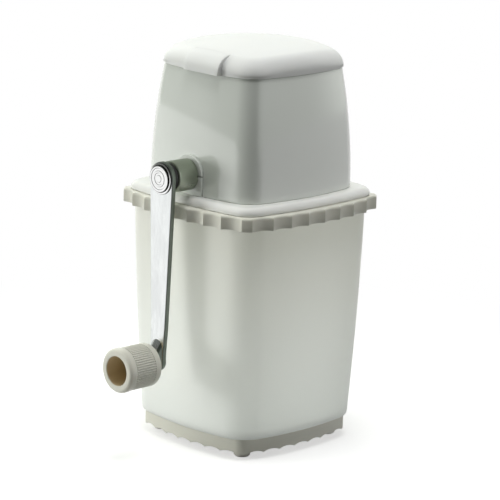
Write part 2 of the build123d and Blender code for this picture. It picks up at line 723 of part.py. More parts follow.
save(lid.part, "lid")

with BuildPart() as hinge_pin:
    with BuildSketch(Plane.YZ):
        with Locations((hinge_y, hinge_z)):
            Circle(hinge_pin_radius)
    extrude(amount=hinge_outer_end + hinge_side_gap, both=True)
save(hinge_pin.part, "hinge_pin")

# ================================================================ drive shaft
shaft_end = arm_front + arm_square_proud
shoulder = arm_back + shoulder_gap
with BuildPart() as drive_shaft:
    add(turned([
        (shoulder, 0),
        (shoulder, shaft_radius),
        (circlip_face, shaft_radius),
        (circlip_face, shaft_radius - circlip_groove_depth),
        (circlip_face + circlip_thickness + fixed_fit, shaft_radius - circlip_groove_depth),
        (circlip_face + circlip_thickness + fixed_fit, shaft_radius),
        (shaft_far_end, shaft_radius),
        (shaft_far_end, 0),
    ], axis_z))
    with BuildSketch(Plane.XZ):
        with Locations((0, axis_z)):
            Rectangle(shaft_square, shaft_square)
    extrude(amount=square_half, both=True)
    with BuildSketch(crank_plane(shoulder)):
        with Locations((0, axis_z)):
            Rectangle(arm_square, arm_square)
    extrude(amount=shoulder - shaft_end)
    with BuildSketch(crank_plane(shaft_end)):
        with Locations((0, axis_z)):
            Circle(bolt_radius + fixed_fit)
    extrude(amount=-bolt_length - bolt_bore_spare, mode=Mode.SUBTRACT)
save(drive_shaft.part, "drive_shaft")

# ================================================================ rotor blades and spacers
tooth_radii = (blade_root_radius, blade_tip_radius, blade_tip_radius, blade_root_radius)
for number in range(blade_count):
    blade_middle = (number - (blade_count - 1) / 2) * blade_pitch
    with BuildPart() as blade:
        with BuildSketch(crank_plane(blade_middle)):
            with Locations((0, axis_z)):
                Circle(blade_hub_radius)
            for turn in range(blade_tooth_count):
                start = 360 / blade_tooth_count * turn + blade_stagger * number
                with BuildLine():
                    Polyline([(radius * cos(radians(start + angle)),
                               axis_z + radius * sin(radians(start + angle)))
                              for radius, angle in zip(tooth_radii, tooth_angles)], close=True)
                make_face()
            with Locations((0, axis_z)):
                Rectangle(shaft_square + 2 * fixed_fit, shaft_square + 2 * fixed_fit,
                          mode=Mode.SUBTRACT)
        extrude(amount=blade_thickness / 2, both=True)
    save(blade.part, f"rotor_blade_{number + 1}")

for number in range(blade_count + 1):
    spacer_middle = (number - blade_count / 2) * blade_pitch
    with BuildPart() as spacer:
        with BuildSketch(crank_plane(spacer_middle)):
            with Locations((0, axis_z)):
                Circle(spacer_radius)
                Rectangle(shaft_square + 2 * fixed_fit, shaft_square + 2 * fixed_fit,
                          mode=Mode.SUBTRACT)
        extrude(amount=spacer_length / 2, both=True)
    save(spacer.part, f"rotor_spacer_{number + 1}")

# ================================================================ washer and circlip
save(turned([
    (far_flange_face + running_fit, bush_bore),
    (far_flange_face + running_fit, washer_radius),
    (far_flange_face + running_fit + washer_thickness, washer_radius),
    (far_flange_face + running_fit + washer_thickness, bush_bore),
], axis_z), "thrust_washer")
with BuildPart() as circlip:
    with BuildSketch(crank_plane(circlip_face + fixed_fit / 2)):
        with Locations((0, axis_z)):
            Circle(circlip_radius)
            Circle(shaft_radius - circlip_groove_depth + fixed_fit, mode=Mode.SUBTRACT)
        with Locations((0, axis_z + circlip_radius)):
            Rectangle(shaft_radius, 2 * shaft_radius, mode=Mode.SUBTRACT)
    extrude(amount=-circlip_thickness)
save(circlip.part, "circlip")

# ================================================================ hub sleeve and washer
save(turned([
    (sleeve_outer_end, bush_bore),
    (sleeve_outer_end, sleeve_radius - sleeve_outer_edge),
    (sleeve_outer_end + sleeve_outer_edge, sleeve_radius),
    (sleeve_inner_end - sleeve_inner_edge, sleeve_radius),
    (sleeve_inner_end, sleeve_radius - sleeve_inner_edge),
    (sleeve_inner_end, sleeve_bore_radius),
    (sleeve_inner_end - sleeve_bore_depth, sleeve_bore_radius),
    (sleeve_inner_end - sleeve_bore_depth, bush_bore),
], axis_z), "hub_sleeve")
save(turned([
    (arm_washer_face, bush_bore),
    (arm_washer_face, arm_washer_radius),
    (arm_washer_face + arm_washer_thickness, arm_washer_radius),
    (arm_washer_face + arm_washer_thickness, bush_bore),
], axis_z), "arm_washer")

# ================================================================ crank arm
with BuildPart() as crank_arm:
    # seen from the crank side: a tapering bar between two rounded ends
    with BuildSketch(crank_plane(arm_back + overshoot)):
        taper = (arm_head_radius - arm_foot_radius) / arm_throw
        rise = sqrt(1 - taper ** 2)
        with BuildLine():
            Polyline(
                (arm_head_radius * rise, axis_z - arm_head_radius * taper),
                (arm_foot_radius * rise, knob_z - arm_foot_radius * taper),
                (-arm_foot_radius * rise, knob_z - arm_foot_radius * taper),
                (-arm_head_radius * rise, axis_z - arm_head_radius * taper),
                close=True,
            )
        make_face()
        with Locations((0, axis_z)):
            Circle(arm_head_radius)
        with Locations((0, knob_z)):
            Circle(arm_foot_radius)
    extrude(amount=arm_back + overshoot - arm_seat)
    # seen from the side: the head is flat, the bar leans out and bends a little more low down
    with BuildSketch(Plane.YZ):
        head_bottom = axis_z - arm_head_radius
        low_end = knob_z - arm_foot_radius - overshoot
        high_end = axis_z + arm_head_radius + overshoot
        back_line = [
            (arm_low_back, low_end),
            (arm_low_back, knob_z + arm_kick_flat),
            (arm_back - arm_lean, knob_z + arm_kick_start),
            (arm_back, head_bottom),
            (arm_back, high_end),
        ]
        with BuildLine():
            Polyline(back_line + [(y - arm_thickness, z) for y, z in reversed(back_line)],
                     close=True)
        make_face()
    extrude(amount=2 * arm_head_radius, both=True, mode=Mode.INTERSECT)
    # boss for the knob pin: a ramp and sloping sides lead from the bar up to a small face
    boss_foot_radius = arm_foot_radius - arm_boss_inset
    boss_root = arm_low_front + arm_thickness / 2
    with BuildSketch(crank_plane(boss_root)):
        with Locations((0, knob_z + arm_boss_climb / 2)):
            SlotCenterToCenter(arm_boss_climb, 2 * boss_foot_radius, rotation=90)
    with BuildSketch(crank_plane(arm_seat)):
        with Locations((0, knob_z)):
            SlotCenterToCenter(arm_boss_radius / 10, 2 * arm_boss_radius, rotation=90)
    loft()
    with BuildSketch(crank_plane(arm_back + overshoot)):
        with Locations((0, axis_z)):
            Rectangle(arm_square + 2 * fixed_fit, arm_square + 2 * fixed_fit)
        with Locations((0, knob_z)):
            Circle(pin_radius + fixed_fit)
    extrude(amount=arm_back + 2 * overshoot - arm_seat, mode=Mode.SUBTRACT)
save(crank_arm.part, "crank_arm")

# ================================================================ hub caps and crank bolt
save(turned([
    (arm_front - fixed_fit, bolt_head_radius + fixed_fit),
    (arm_front - fixed_fit, cap_rear_radius),
    (cap_rear_face + cap_edge, cap_rear_radius),
    (cap_rear_face, cap_rear_radius - cap_edge),
    (cap_rear_face, bolt_head_radius + fixed_fit),
], axis_z), "hub_cap_rear")
cap_back = cap_rear_face - fixed_fit
cap_face = cap_back - cap_front_thickness
cap_rings = []
for ring_outer, ring_inner in cap_grooves:
    cap_rings += [
        (cap_face, ring_outer),
        (cap_face + cap_relief, ring_outer - cap_relief),
        (cap_face + cap_relief, ring_inner + cap_relief),
        (cap_face, ring_inner),
    ]
save(turned([
    (cap_back, 0),
    (cap_back, cap_front_radius),
    (cap_face + cap_edge, cap_front_radius),
    (cap_face, cap_front_radius - cap_edge),
] + cap_rings + [
    (cap_face, 0),
], axis_z), "hub_cap_front")
save(turned([
    (cap_rear_face + fixed_fit, 0),
    (cap_rear_face + fixed_fit, bolt_head_radius),
    (arm_front - fixed_fit, bolt_head_radius),
    (arm_front - fixed_fit, bolt_radius),
    (arm_front + bolt_length, bolt_radius),
    (arm_front + bolt_length, 0),
], axis_z), "crank_bolt")

# ================================================================ knob pin, washer, screw
pin_end = knob_floor - pin_proud
with BuildPart() as knob_pin:
    add(turned([
        (pin_end, 0),
        (pin_end, pin_radius),
        (arm_low_back + fixed_fit, pin_radius),
        (arm_low_back + fixed_fit, pin_head_radius),
        (arm_low_back + fixed_fit + pin_head_thickness - pin_head_edge, pin_head_radius),
        (arm_low_back + fixed_fit + pin_head_thickness, pin_head_radius - pin_head_edge),
        (arm_low_back + fixed_fit + pin_head_thickness, 0),
    ], knob_z))
    with BuildSketch(crank_plane(pin_end)):
        with Locations((0, knob_z)):
            Circle(knob_screw_radius + fixed_fit)
    extrude(amount=-knob_screw_length - knob_screw_bore_spare, mode=Mode.SUBTRACT)
save(knob_pin.part, "knob_pin")
knob_washer_back = pin_end - fixed_fit
knob_washer_front = knob_washer_back - washer_thickness
save(turned([
    (knob_washer_front, knob_screw_radius + fixed_fit),
    (knob_washer_front, knob_washer_radius),
    (knob_washer_back, knob_washer_radius),
    (knob_washer_back, knob_screw_radius + fixed_fit),
], knob_z), "knob_washer")
with BuildPart() as knob_screw:
    head_back = knob_washer_front - fixed_fit
    add(turned([
        (head_back - knob_screw_head, 0),
        (head_back - knob_screw_head, knob_screw_top_radius),
        (head_back - knob_screw_head + knob_screw_crown, knob_screw_head_radius),
        (head_back, knob_screw_head_radius),
        (head_back, knob_screw_radius),
        (pin_end + knob_screw_length, knob_screw_radius),
        (pin_end + knob_screw_length, 0),
    ], knob_z))
    with BuildSketch(crank_plane(head_back - knob_screw_head)):
        with Locations((0, knob_z)):
            Rectangle(2 * knob_screw_head_radius, knob_screw_slot[0])
    extrude(amount=-knob_screw_slot[1], mode=Mode.SUBTRACT)
save(knob_screw.part, "knob_screw")

# ================================================================ knob grip
rib_start = knob_face + knob_rim_width + knob_groove
rib_end = knob_tail - knob_tail_plain
round_start = knob_tail - knob_tail_round
with BuildPart() as knob_grip:
    with BuildSketch(Plane.YZ):
        with BuildLine():
            bore = pin_radius + running_fit
            Polyline(
                (knob_face + knob_rim_round, knob_z + knob_bore_radius),
                (knob_floor, knob_z + knob_bore_radius),
                (knob_floor, knob_z + bore),
                (knob_tail, knob_z + bore),
                (knob_tail, knob_z + knob_body_radius - knob_tail_round),
            )
            RadiusArc((knob_tail, knob_z + knob_body_radius - knob_tail_round),
                      (round_start, knob_z + knob_body_radius), -knob_tail_round)
            Polyline(
                (round_start, knob_z + knob_body_radius),
                (rib_start, knob_z + knob_body_radius),
                (rib_start, knob_z + knob_body_radius - knob_groove),
                (knob_face + knob_rim_width, knob_z + knob_body_radius - knob_groove),
                (knob_face + knob_rim_width, knob_z + knob_rim_radius),
                (knob_face + knob_rim_round, knob_z + knob_rim_radius),
            )
            ThreePointArc(
                (knob_face + knob_rim_round, knob_z + knob_rim_radius),
                (knob_face, knob_z + (knob_rim_radius + knob_bore_radius) / 2),
                (knob_face + knob_rim_round, knob_z + knob_bore_radius),
            )
        make_face()
    revolve(axis=Axis((0, 0, knob_z), (0, 1, 0)))
    with BuildSketch(crank_plane(rib_end)):
        with Locations((0, knob_z)):
            with PolarLocations(knob_body_radius, knob_rib_count):
                Circle(knob_rib_depth)
    extrude(amount=rib_end - rib_start, mode=Mode.SUBTRACT)
save(knob_grip.part, "knob_grip")
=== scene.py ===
"""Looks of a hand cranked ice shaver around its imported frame."""

import bmesh
import bpy
from math import asin, atan2, cos, pi, radians, sin, sqrt
from mathutils import Matrix, Vector


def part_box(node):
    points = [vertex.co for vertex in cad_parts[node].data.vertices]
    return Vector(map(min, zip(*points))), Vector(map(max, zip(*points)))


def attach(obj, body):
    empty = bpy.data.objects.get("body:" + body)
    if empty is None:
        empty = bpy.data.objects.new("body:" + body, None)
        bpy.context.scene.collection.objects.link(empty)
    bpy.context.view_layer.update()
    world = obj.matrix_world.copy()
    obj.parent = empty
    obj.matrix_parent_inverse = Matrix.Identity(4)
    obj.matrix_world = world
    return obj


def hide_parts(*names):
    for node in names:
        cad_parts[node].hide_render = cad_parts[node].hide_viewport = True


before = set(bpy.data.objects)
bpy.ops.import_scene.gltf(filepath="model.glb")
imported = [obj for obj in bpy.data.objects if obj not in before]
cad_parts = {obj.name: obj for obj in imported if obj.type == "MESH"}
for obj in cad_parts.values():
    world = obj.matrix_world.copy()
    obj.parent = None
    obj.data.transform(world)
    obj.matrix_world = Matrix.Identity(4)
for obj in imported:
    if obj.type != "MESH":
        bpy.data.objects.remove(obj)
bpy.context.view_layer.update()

MM = 0.001
BODY_Y = 20.9            # middle of the body in the frame, mm along Y
CRANK_Z = 170.3          # height of the crank axis
KNOB_Z = 57.4            # height of the knob axis at rest
DECK_LOW, DECK_TOP = 153.2, 157.9
HOPPER_TOP = 231.7
LID_LOW, LID_CROWN, LID_DOME = 231.85, 247.5, 240.0
HINGE_Y, HINGE_Z = 50.0, 231.6
BOSS_FACE = -52.09


# ---------------------------------------------------------------- outlines
def rounded_quad(half, bow, corner, side_points=48, corner_points=14):
    """Points (x, y) round a square with bowed sides and round corners, in mm."""
    reach = half - bow
    big = (reach * reach + bow * bow) / (2 * bow)
    off = big - half
    inner = big - corner
    t = (-off + sqrt(2 * inner * inner - off * off)) / 2
    end = atan2(t, t + off)
    points = []
    for side in range(4):
        turn = side * pi / 2
        local = []
        for i in range(side_points):
            a = end * (-1 + 2 * i / side_points)
            local.append((big * cos(a) - off, big * sin(a)))
        for i in range(corner_points):
            a = end + (pi / 2 - 2 * end) * i / corner_points
            local.append((t + corner * cos(a), t + corner * sin(a)))
        for x, y in local:
            points.append((x * cos(turn) - y * sin(turn), x * sin(turn) + y * cos(turn)))
    return points


def ring(half, bow, corner, z, shape=None, **counts):
    """One closed row of points of the bowed square at a level, in mm, in the frame."""
    row = []
    for x, y in rounded_quad(half, bow, corner, **counts):
        here = z
        if shape:
            x, y, here = shape(x, y, z)
        row.append((x, y + BODY_Y, here))
    return row


def side_profile(half, bow, corner):
    """Depth of the bowed square's outline over a place along its side, and its corner's place."""
    reach = half - bow
    big = (reach * reach + bow * bow) / (2 * bow)
    off = big - half
    inner = big - corner
    t = (-off + sqrt(2 * inner * inner - off * off)) / 2
    end = big * sin(atan2(t, t + off))

    def depth(place):
        if abs(place) <= end:
            return sqrt(big * big - place * place) - off
        return t + sqrt(max(0.0, corner * corner - (abs(place) - t) ** 2))

    return depth, t + corner * sqrt(0.5)


def stepped_ring(half, bow, corner, z, stops):
    """Closed row whose points lie at chosen shares (-1..1) along every side, corner to corner."""
    depth, corner_place = side_profile(half, bow, corner)
    row = []
    for side in range(4):
        turn = side * pi / 2
        for stop in stops:
            place = stop * corner_place
            x, y = depth(place), place
            row.append((x * cos(turn) - y * sin(turn), x * sin(turn) + y * cos(turn) + BODY_Y, z))
    return row


# ---------------------------------------------------------------- mesh making
def new_piece(name, parts, crease=35.0, layers=None):
    """Object at the origin from (points in mm, faces) parts, smooth but for sharp edges.

    layers holds per point values for the first part: a name, a type and the values."""
    verts, faces = [], []
    for part_verts, part_faces in parts:
        start = len(verts)
        verts += part_verts
        faces += [tuple(start + k for k in face) for face in part_faces]
    mesh = bpy.data.meshes.new(name)
    mesh.from_pydata([(x * MM, y * MM, z * MM) for x, y, z in verts], [], faces)
    for layer_name, kind, values in layers or ():
        layer = mesh.attributes.new(layer_name, kind, "POINT")
        flat = [k for value in values for k in value] if kind == "FLOAT_VECTOR" else list(values)
        layer.data.foreach_set("vector" if kind == "FLOAT_VECTOR" else "value", flat)
    mesh.validate()
    work = bmesh.new()
    work.from_mesh(mesh)
    bmesh.ops.remove_doubles(work, verts=work.verts, dist=1e-7)
    bmesh.ops.recalc_face_normals(work, faces=work.faces)
    work.to_mesh(mesh)
    work.free()
    smooth(mesh, crease)
    piece = bpy.data.objects.new(name, mesh)
    bpy.context.scene.collection.objects.link(piece)
    return piece


def smooth(mesh, crease):
    """Smooth shading but for edges sharper than crease."""
    mesh.shade_smooth()
    mesh.set_sharp_from_angle(angle=radians(crease))


def skin(rows, closed=False, cap_first=False, cap_last=False):
    """Points and quads through rows of equal length, each row a closed loop."""
    count = len(rows[0])
    verts = [p for row in rows for p in row]
    faces = []
    pairs = list(zip(range(len(rows)), range(1, len(rows))))
    if closed:
        pairs.append((len(rows) - 1, 0))
    for a, b in pairs:
        for i in range(count):
            j = (i + 1) % count
            faces.append((a * count + i, a * count + j, b * count + j, b * count + i))
    for use, row in ((cap_first, 0), (cap_last, len(rows) - 1)):
        if use:
            middle = len(verts)
            loop = rows[row]
            verts.append(tuple(sum(p[k] for p in loop) / count for k in range(3)))
            faces += [(row * count + i, row * count + (i + 1) % count, middle) for i in range(count)]
    return verts, faces


def turned(profile, height, segments=96):
    """Part turned about the line along Y at a height, from (y, radius) points of a closed
    section; a section that starts and ends on the axis is closed there."""
    solid = profile[0][1] == 0
    rows = []
    for y, radius in profile[1:-1] if solid else profile:
        rows.append([(radius * sin(2 * pi * i / segments), y + BODY_Y,
                      height + radius * cos(2 * pi * i / segments)) for i in range(segments)])
    return skin(rows, closed=not solid, cap_first=solid, cap_last=solid)


def hinge_tube(x0, x1, y, z, radius, segments=32, edge=0.35):
    """Part: a closed tube along X with rounded ends."""
    rows = []
    for x, r in ((x0, radius - edge), (x0 + edge, radius), (x1 - edge, radius), (x1, radius - edge)):
        rows.append([(x, y + BODY_Y + r * cos(2 * pi * i / segments), z + r * sin(2 * pi * i / segments))
                     for i in range(segments)])
    return skin(rows, cap_first=True, cap_last=True)


def block(x0, x1, y0, y1, z0, z1, edge=0.4, steps=4):
    """Part: upright block, its corners and its top and bottom edges rounded."""
    rows = []
    for inset, z in ((edge, z0), (0, z0 + edge), (0, z1 - edge), (edge, z1)):
        row = []
        for cx, cy, start in ((x1, y1, 0), (x0, y1, 90), (x0, y0, 180), (x1, y0, 270)):
            for k in range(steps + 1):
                a = radians(start + 90 * k / steps)
                sx = 1 if cx == x1 else -1
                sy = 1 if cy == y1 else -1
                row.append((cx - sx * (edge + inset * 0.5) + edge * cos(a),
                            cy - sy * (edge + inset * 0.5) + edge * sin(a) + BODY_Y, z))
        rows.append(row)
    return skin(rows, cap_first=True, cap_last=True)


def arc_points(cx, cy, radius, start, end, count=6):
    """Points on an arc, angles in degrees, both ends included."""
    out = []
    for i in range(count + 1):
        a = radians(start + (end - start) * i / count)
        out.append((cx + radius * cos(a), cy + radius * sin(a)))
    return out


# ---------------------------------------------------------------- geometry node trees
def start_tree(name, inputs):
    """Geometry node tree with named inputs; gives the tree, its input node and identifiers."""
    tree = bpy.data.node_groups.new(name, "GeometryNodeTree")
    tree.interface.new_socket("Geometry", in_out="INPUT", socket_type="NodeSocketGeometry")
    for label, kind in inputs:
        tree.interface.new_socket(label, in_out="INPUT", socket_type=kind)
    tree.interface.new_socket("Geometry", in_out="OUTPUT", socket_type="NodeSocketGeometry")
    given = tree.nodes.new("NodeGroupInput")
    keys = {item.name: item.identifier for item in tree.interface.items_tree if item.in_out == "INPUT"}
    return tree, given, keys


def end_tree(tree, given, geometry):
    """Realize Instances and Set Material close every tree."""
    real = tree.nodes.new("GeometryNodeRealizeInstances")
    dress = tree.nodes.new("GeometryNodeSetMaterial")
    out = tree.nodes.new("NodeGroupOutput")
    tree.links.new(geometry, real.inputs["Geometry"])
    tree.links.new(real.outputs["Geometry"], dress.inputs["Geometry"])
    tree.links.new(given.outputs["Material"], dress.inputs["Material"])
    tree.links.new(dress.outputs["Geometry"], out.inputs["Geometry"])


def math_node(tree, operation, *values):
    """Output of a math node on numbers or other nodes' outputs."""
    node = tree.nodes.new("ShaderNodeMath")
    node.operation = operation
    for socket, value in zip(node.inputs, values):
        if isinstance(value, (int, float)):
            socket.default_value = value
        else:
            tree.links.new(value, socket)
    return node.outputs["Value"]


def scallop_tree():
    """Pushes points across in a row of scallops that meet in sharp ridges."""
    tree, given, keys = start_tree("scallop_row", [
        ("Scallops", "NodeSocketFloat"), ("Depth", "NodeSocketFloat"), ("Material", "NodeSocketMaterial")])
    named = {}
    for label, kind in (("along", "FLOAT"), ("across", "FLOAT_VECTOR")):
        node = tree.nodes.new("GeometryNodeInputNamedAttribute")
        node.data_type = kind
        node.inputs["Name"].default_value = label
        named[label] = node.outputs["Attribute"]
    part = math_node(tree, "FRACT", math_node(tree, "MULTIPLY", named["along"], given.outputs["Scallops"]))
    hollow = math_node(tree, "MULTIPLY", math_node(tree, "MULTIPLY", part, 4.0),
                       math_node(tree, "SUBTRACT", 1.0, part))
    push = math_node(tree, "MULTIPLY", hollow, given.outputs["Depth"])
    offset = tree.nodes.new("ShaderNodeVectorMath")
    offset.operation = "SCALE"
    tree.links.new(named["across"], offset.inputs[0])
    tree.links.new(push, offset.inputs["Scale"])
    move = tree.nodes.new("GeometryNodeSetPosition")
    tree.links.new(given.outputs["Geometry"], move.inputs["Geometry"])
    tree.links.new(offset.outputs["Vector"], move.inputs["Offset"])
    end_tree(tree, given, move.outputs["Geometry"])
    return tree, keys


def rib_tree():
    """Adds a ring of round ribs that lie along Y."""
    tree, given, keys = start_tree("grip_ribs", [
        ("Ribs", "NodeSocketInt"), ("Ring Radius", "NodeSocketFloat"), ("Rib Radius", "NodeSocketFloat"),
        ("Rib Length", "NodeSocketFloat"), ("Middle", "NodeSocketVector"), ("Material", "NodeSocketMaterial")])
    circle = tree.nodes.new("GeometryNodeMeshCircle")
    tree.links.new(given.outputs["Ribs"], circle.inputs["Vertices"])
    tree.links.new(given.outputs["Ring Radius"], circle.inputs["Radius"])
    rib = tree.nodes.new("GeometryNodeMeshCylinder")
    rib.inputs["Vertices"].default_value = 12
    tree.links.new(given.outputs["Rib Radius"], rib.inputs["Radius"])
    tree.links.new(given.outputs["Rib Length"], rib.inputs["Depth"])
    laid = []
    for source in (circle.outputs["Mesh"], rib.outputs["Mesh"]):
        lay = tree.nodes.new("GeometryNodeTransform")
        lay.inputs["Rotation"].default_value = (pi / 2, 0, 0)
        tree.links.new(source, lay.inputs["Geometry"])
        laid.append(lay)
    tree.links.new(given.outputs["Middle"], laid[0].inputs["Translation"])
    put = tree.nodes.new("GeometryNodeInstanceOnPoints")
    tree.links.new(laid[0].outputs["Geometry"], put.inputs["Points"])
    tree.links.new(laid[1].outputs["Geometry"], put.inputs["Instance"])
    both = tree.nodes.new("GeometryNodeJoinGeometry")
    tree.links.new(given.outputs["Geometry"], both.inputs["Geometry"])
    tree.links.new(put.outputs["Instances"], both.inputs["Geometry"])
    end_tree(tree, given, both.outputs["Geometry"])
    return tree, keys


def screw_tree():
    """Puts the screw that comes in at the four corners of a rectangle."""
    tree, given, keys = start_tree("four_screws", [
        ("Spread X", "NodeSocketFloat"), ("Spread Y", "NodeSocketFloat"), ("Middle", "NodeSocketVector"),
        ("Material", "NodeSocketMaterial")])
    grid = tree.nodes.new("GeometryNodeMeshGrid")
    grid.inputs["Vertices X"].default_value = 2
    grid.inputs["Vertices Y"].default_value = 2
    tree.links.new(given.outputs["Spread X"], grid.inputs["Size X"])
    tree.links.new(given.outputs["Spread Y"], grid.inputs["Size Y"])
    shift = tree.nodes.new("GeometryNodeTransform")
    tree.links.new(grid.outputs["Mesh"], shift.inputs["Geometry"])
    tree.links.new(given.outputs["Middle"], shift.inputs["Translation"])
    put = tree.nodes.new("GeometryNodeInstanceOnPoints")
    tree.links.new(shift.outputs["Geometry"], put.inputs["Points"])
    tree.links.new(given.outputs["Geometry"], put.inputs["Instance"])
    end_tree(tree, given, put.outputs["Instances"])
    return tree, keys


def run_tree(piece, tree_and_keys, values, crease=35.0):
    """Run a tree on the piece and keep the result as its plain mesh."""
    tree, keys = tree_and_keys
    step = piece.modifiers.new("shape", "NODES")
    step.node_group = tree
    for label, value in values.items():
        step[keys[label]] = value
    graph = bpy.context.evaluated_depsgraph_get()
    mesh = bpy.data.meshes.new_from_object(piece.evaluated_get(graph), preserve_all_data_layers=True,
                                           depsgraph=graph)
    piece.modifiers.clear()
    piece.data = mesh
    smooth(mesh, crease)
    return piece


# ---------------------------------------------------------------- materials
def material(name, colour, roughness, metallic=0.0, coat=0.0, subsurface=0.0, specular=0.5):
    """New node material, its Principled shader and the node tree."""
    mat = bpy.data.materials.new(name)
    mat.use_nodes = True
    tree = mat.node_tree
    shader = tree.nodes["Principled BSDF"]
    shader.inputs["Base Color"].default_value = (*colour, 1)
    shader.inputs["Roughness"].default_value = roughness
    shader.inputs["Metallic"].default_value = metallic
    shader.inputs["Coat Weight"].default_value = coat
    shader.inputs["Specular IOR Level"].default_value = specular
    if subsurface:
        shader.inputs["Subsurface Weight"].default_value = subsurface
        shader.inputs["Subsurface Radius"].default_value = (1.0, 0.9, 0.8)
        shader.inputs["Subsurface Scale"].default_value = 0.006
    return mat, tree, shader


def object_points(tree):
    """Object coordinates of the piece."""
    return tree.nodes.new("ShaderNodeTexCoord").outputs["Object"]


def noise(tree, points, scale, detail=2.0, rough=0.5):
    """Noise value over the points, scale in patches per metre."""
    node = tree.nodes.new("ShaderNodeTexNoise")
    node.inputs["Scale"].default_value = scale
    node.inputs["Detail"].default_value = detail
    node.inputs["Roughness"].default_value = rough
    tree.links.new(points, node.inputs["Vector"])
    return node.outputs["Fac"]


def ramp(tree, value, stops):
    """Colour ramp through (position, colour) stops."""
    node = tree.nodes.new("ShaderNodeValToRGB")
    node.color_ramp.interpolation = "EASE"
    first, last = node.color_ramp.elements
    first.position, first.color = stops[0][0], (*stops[0][1], 1)
    last.position, last.color = stops[-1][0], (*stops[-1][1], 1)
    for position, colour in stops[1:-1]:
        node.color_ramp.elements.new(position).color = (*colour, 1)
    tree.links.new(value, node.inputs["Fac"])
    return node.outputs["Color"]


def spread(tree, value, low, high, from_low=0.3, from_high=0.7):
    """A value mapped from one span to another."""
    node = tree.nodes.new("ShaderNodeMapRange")
    node.interpolation_type = "SMOOTHSTEP"
    node.inputs["From Min"].default_value = from_low
    node.inputs["From Max"].default_value = from_high
    node.inputs["To Min"].default_value = low
    node.inputs["To Max"].default_value = high
    tree.links.new(value, node.inputs["Value"])
    return node.outputs["Result"]


def bumped(tree, shader, height, distance):
    """Bump on the shader from a height value, distance in metres."""
    node = tree.nodes.new("ShaderNodeBump")
    node.inputs["Distance"].default_value = distance
    tree.links.new(height, node.inputs["Height"])
    tree.links.new(node.outputs["Normal"], shader.inputs["Normal"])


def height_share(tree, points, low, high):
    """0 at a low level of the piece and 1 at a high one, in metres."""
    split = tree.nodes.new("ShaderNodeSeparateXYZ")
    tree.links.new(points, split.inputs["Vector"])
    node = tree.nodes.new("ShaderNodeMapRange")
    node.inputs["From Min"].default_value = low
    node.inputs["From Max"].default_value = high
    tree.links.new(split.outputs["Z"], node.inputs["Value"])
    return node.outputs["Result"]


def moulded_plastic(name, colour, warm, roughness, coat, waviness=0.000006, subsurface=0.12, specular=0.5,
                    coat_ior=1.5):
    """Moulded plastic: faint colour drift, slight sink waviness, a gloss that varies a little."""
    mat, tree, shader = material(name, colour, roughness, coat=coat, subsurface=subsurface, specular=specular)
    shader.inputs["Coat Roughness"].default_value = 0.06
    shader.inputs["Coat IOR"].default_value = coat_ior
    points = object_points(tree)
    drift = noise(tree, points, 22.0, 3.0)
    tree.links.new(ramp(tree, drift, [(0.2, warm), (0.8, colour)]), shader.inputs["Base Color"])
    tree.links.new(spread(tree, noise(tree, points, 45.0, 2.0), roughness * 0.92, roughness * 1.1),
                   shader.inputs["Roughness"])
    bumped(tree, shader, noise(tree, points, 14.0, 0.0), waviness)
    return mat


def frosted_plastic(name):
    """Frosted milky cup wall: warm under the collar, cooler and greener lower down, fine grain."""
    mat, tree, shader = material(name, (0.88, 0.90, 0.86), 0.42, subsurface=0.8)
    shader.inputs["Subsurface Scale"].default_value = 0.014
    shader.inputs["Subsurface Radius"].default_value = (1.0, 1.0, 1.0)
    points = object_points(tree)
    level = height_share(tree, points, 0.012, 0.146)
    drift = noise(tree, points, 16.0, 2.0)
    mixed = tree.nodes.new("ShaderNodeMath")
    mixed.operation = "MULTIPLY_ADD"
    mixed.inputs[1].default_value = 0.12
    tree.links.new(drift, mixed.inputs[0])
    tree.links.new(level, mixed.inputs[2])
    tree.links.new(ramp(tree, mixed.outputs["Value"], [
        (0.05, (0.88, 0.925, 0.885)), (0.45, (0.885, 0.91, 0.86)), (0.85, (0.89, 0.895, 0.815)),
        (1.0, (0.89, 0.885, 0.79))]), shader.inputs["Base Color"])
    grain = noise(tree, points, 900.0, 2.0)
    tree.links.new(spread(tree, grain, 0.38, 0.5), shader.inputs["Roughness"])
    bumped(tree, shader, grain, 0.00002)
    return mat


def plated_metal(name, colour, roughness, streak, mottle, waviness=0.00001):
    """Plated metal: soft mottling in colour and gloss, faint streaks along the piece."""
    mat, tree, shader = material(name, colour, roughness, metallic=1.0)
    points = object_points(tree)
    stretch = tree.nodes.new("ShaderNodeMapping")
    stretch.inputs["Scale"].default_value = streak
    tree.links.new(points, stretch.inputs["Vector"])
    cloud = noise(tree, stretch.outputs["Vector"], 1.0, 4.0, 0.6)
    dark = tuple(c * (1 - mottle) for c in colour)
    tree.links.new(ramp(tree, cloud, [(0.35, dark), (0.65, colour)]), shader.inputs["Base Color"])
    tree.links.new(spread(tree, cloud, roughness * 0.85, roughness * 1.2), shader.inputs["Roughness"])
    bumped(tree, shader, noise(tree, points, 120.0, 3.0), waviness)
    return mat


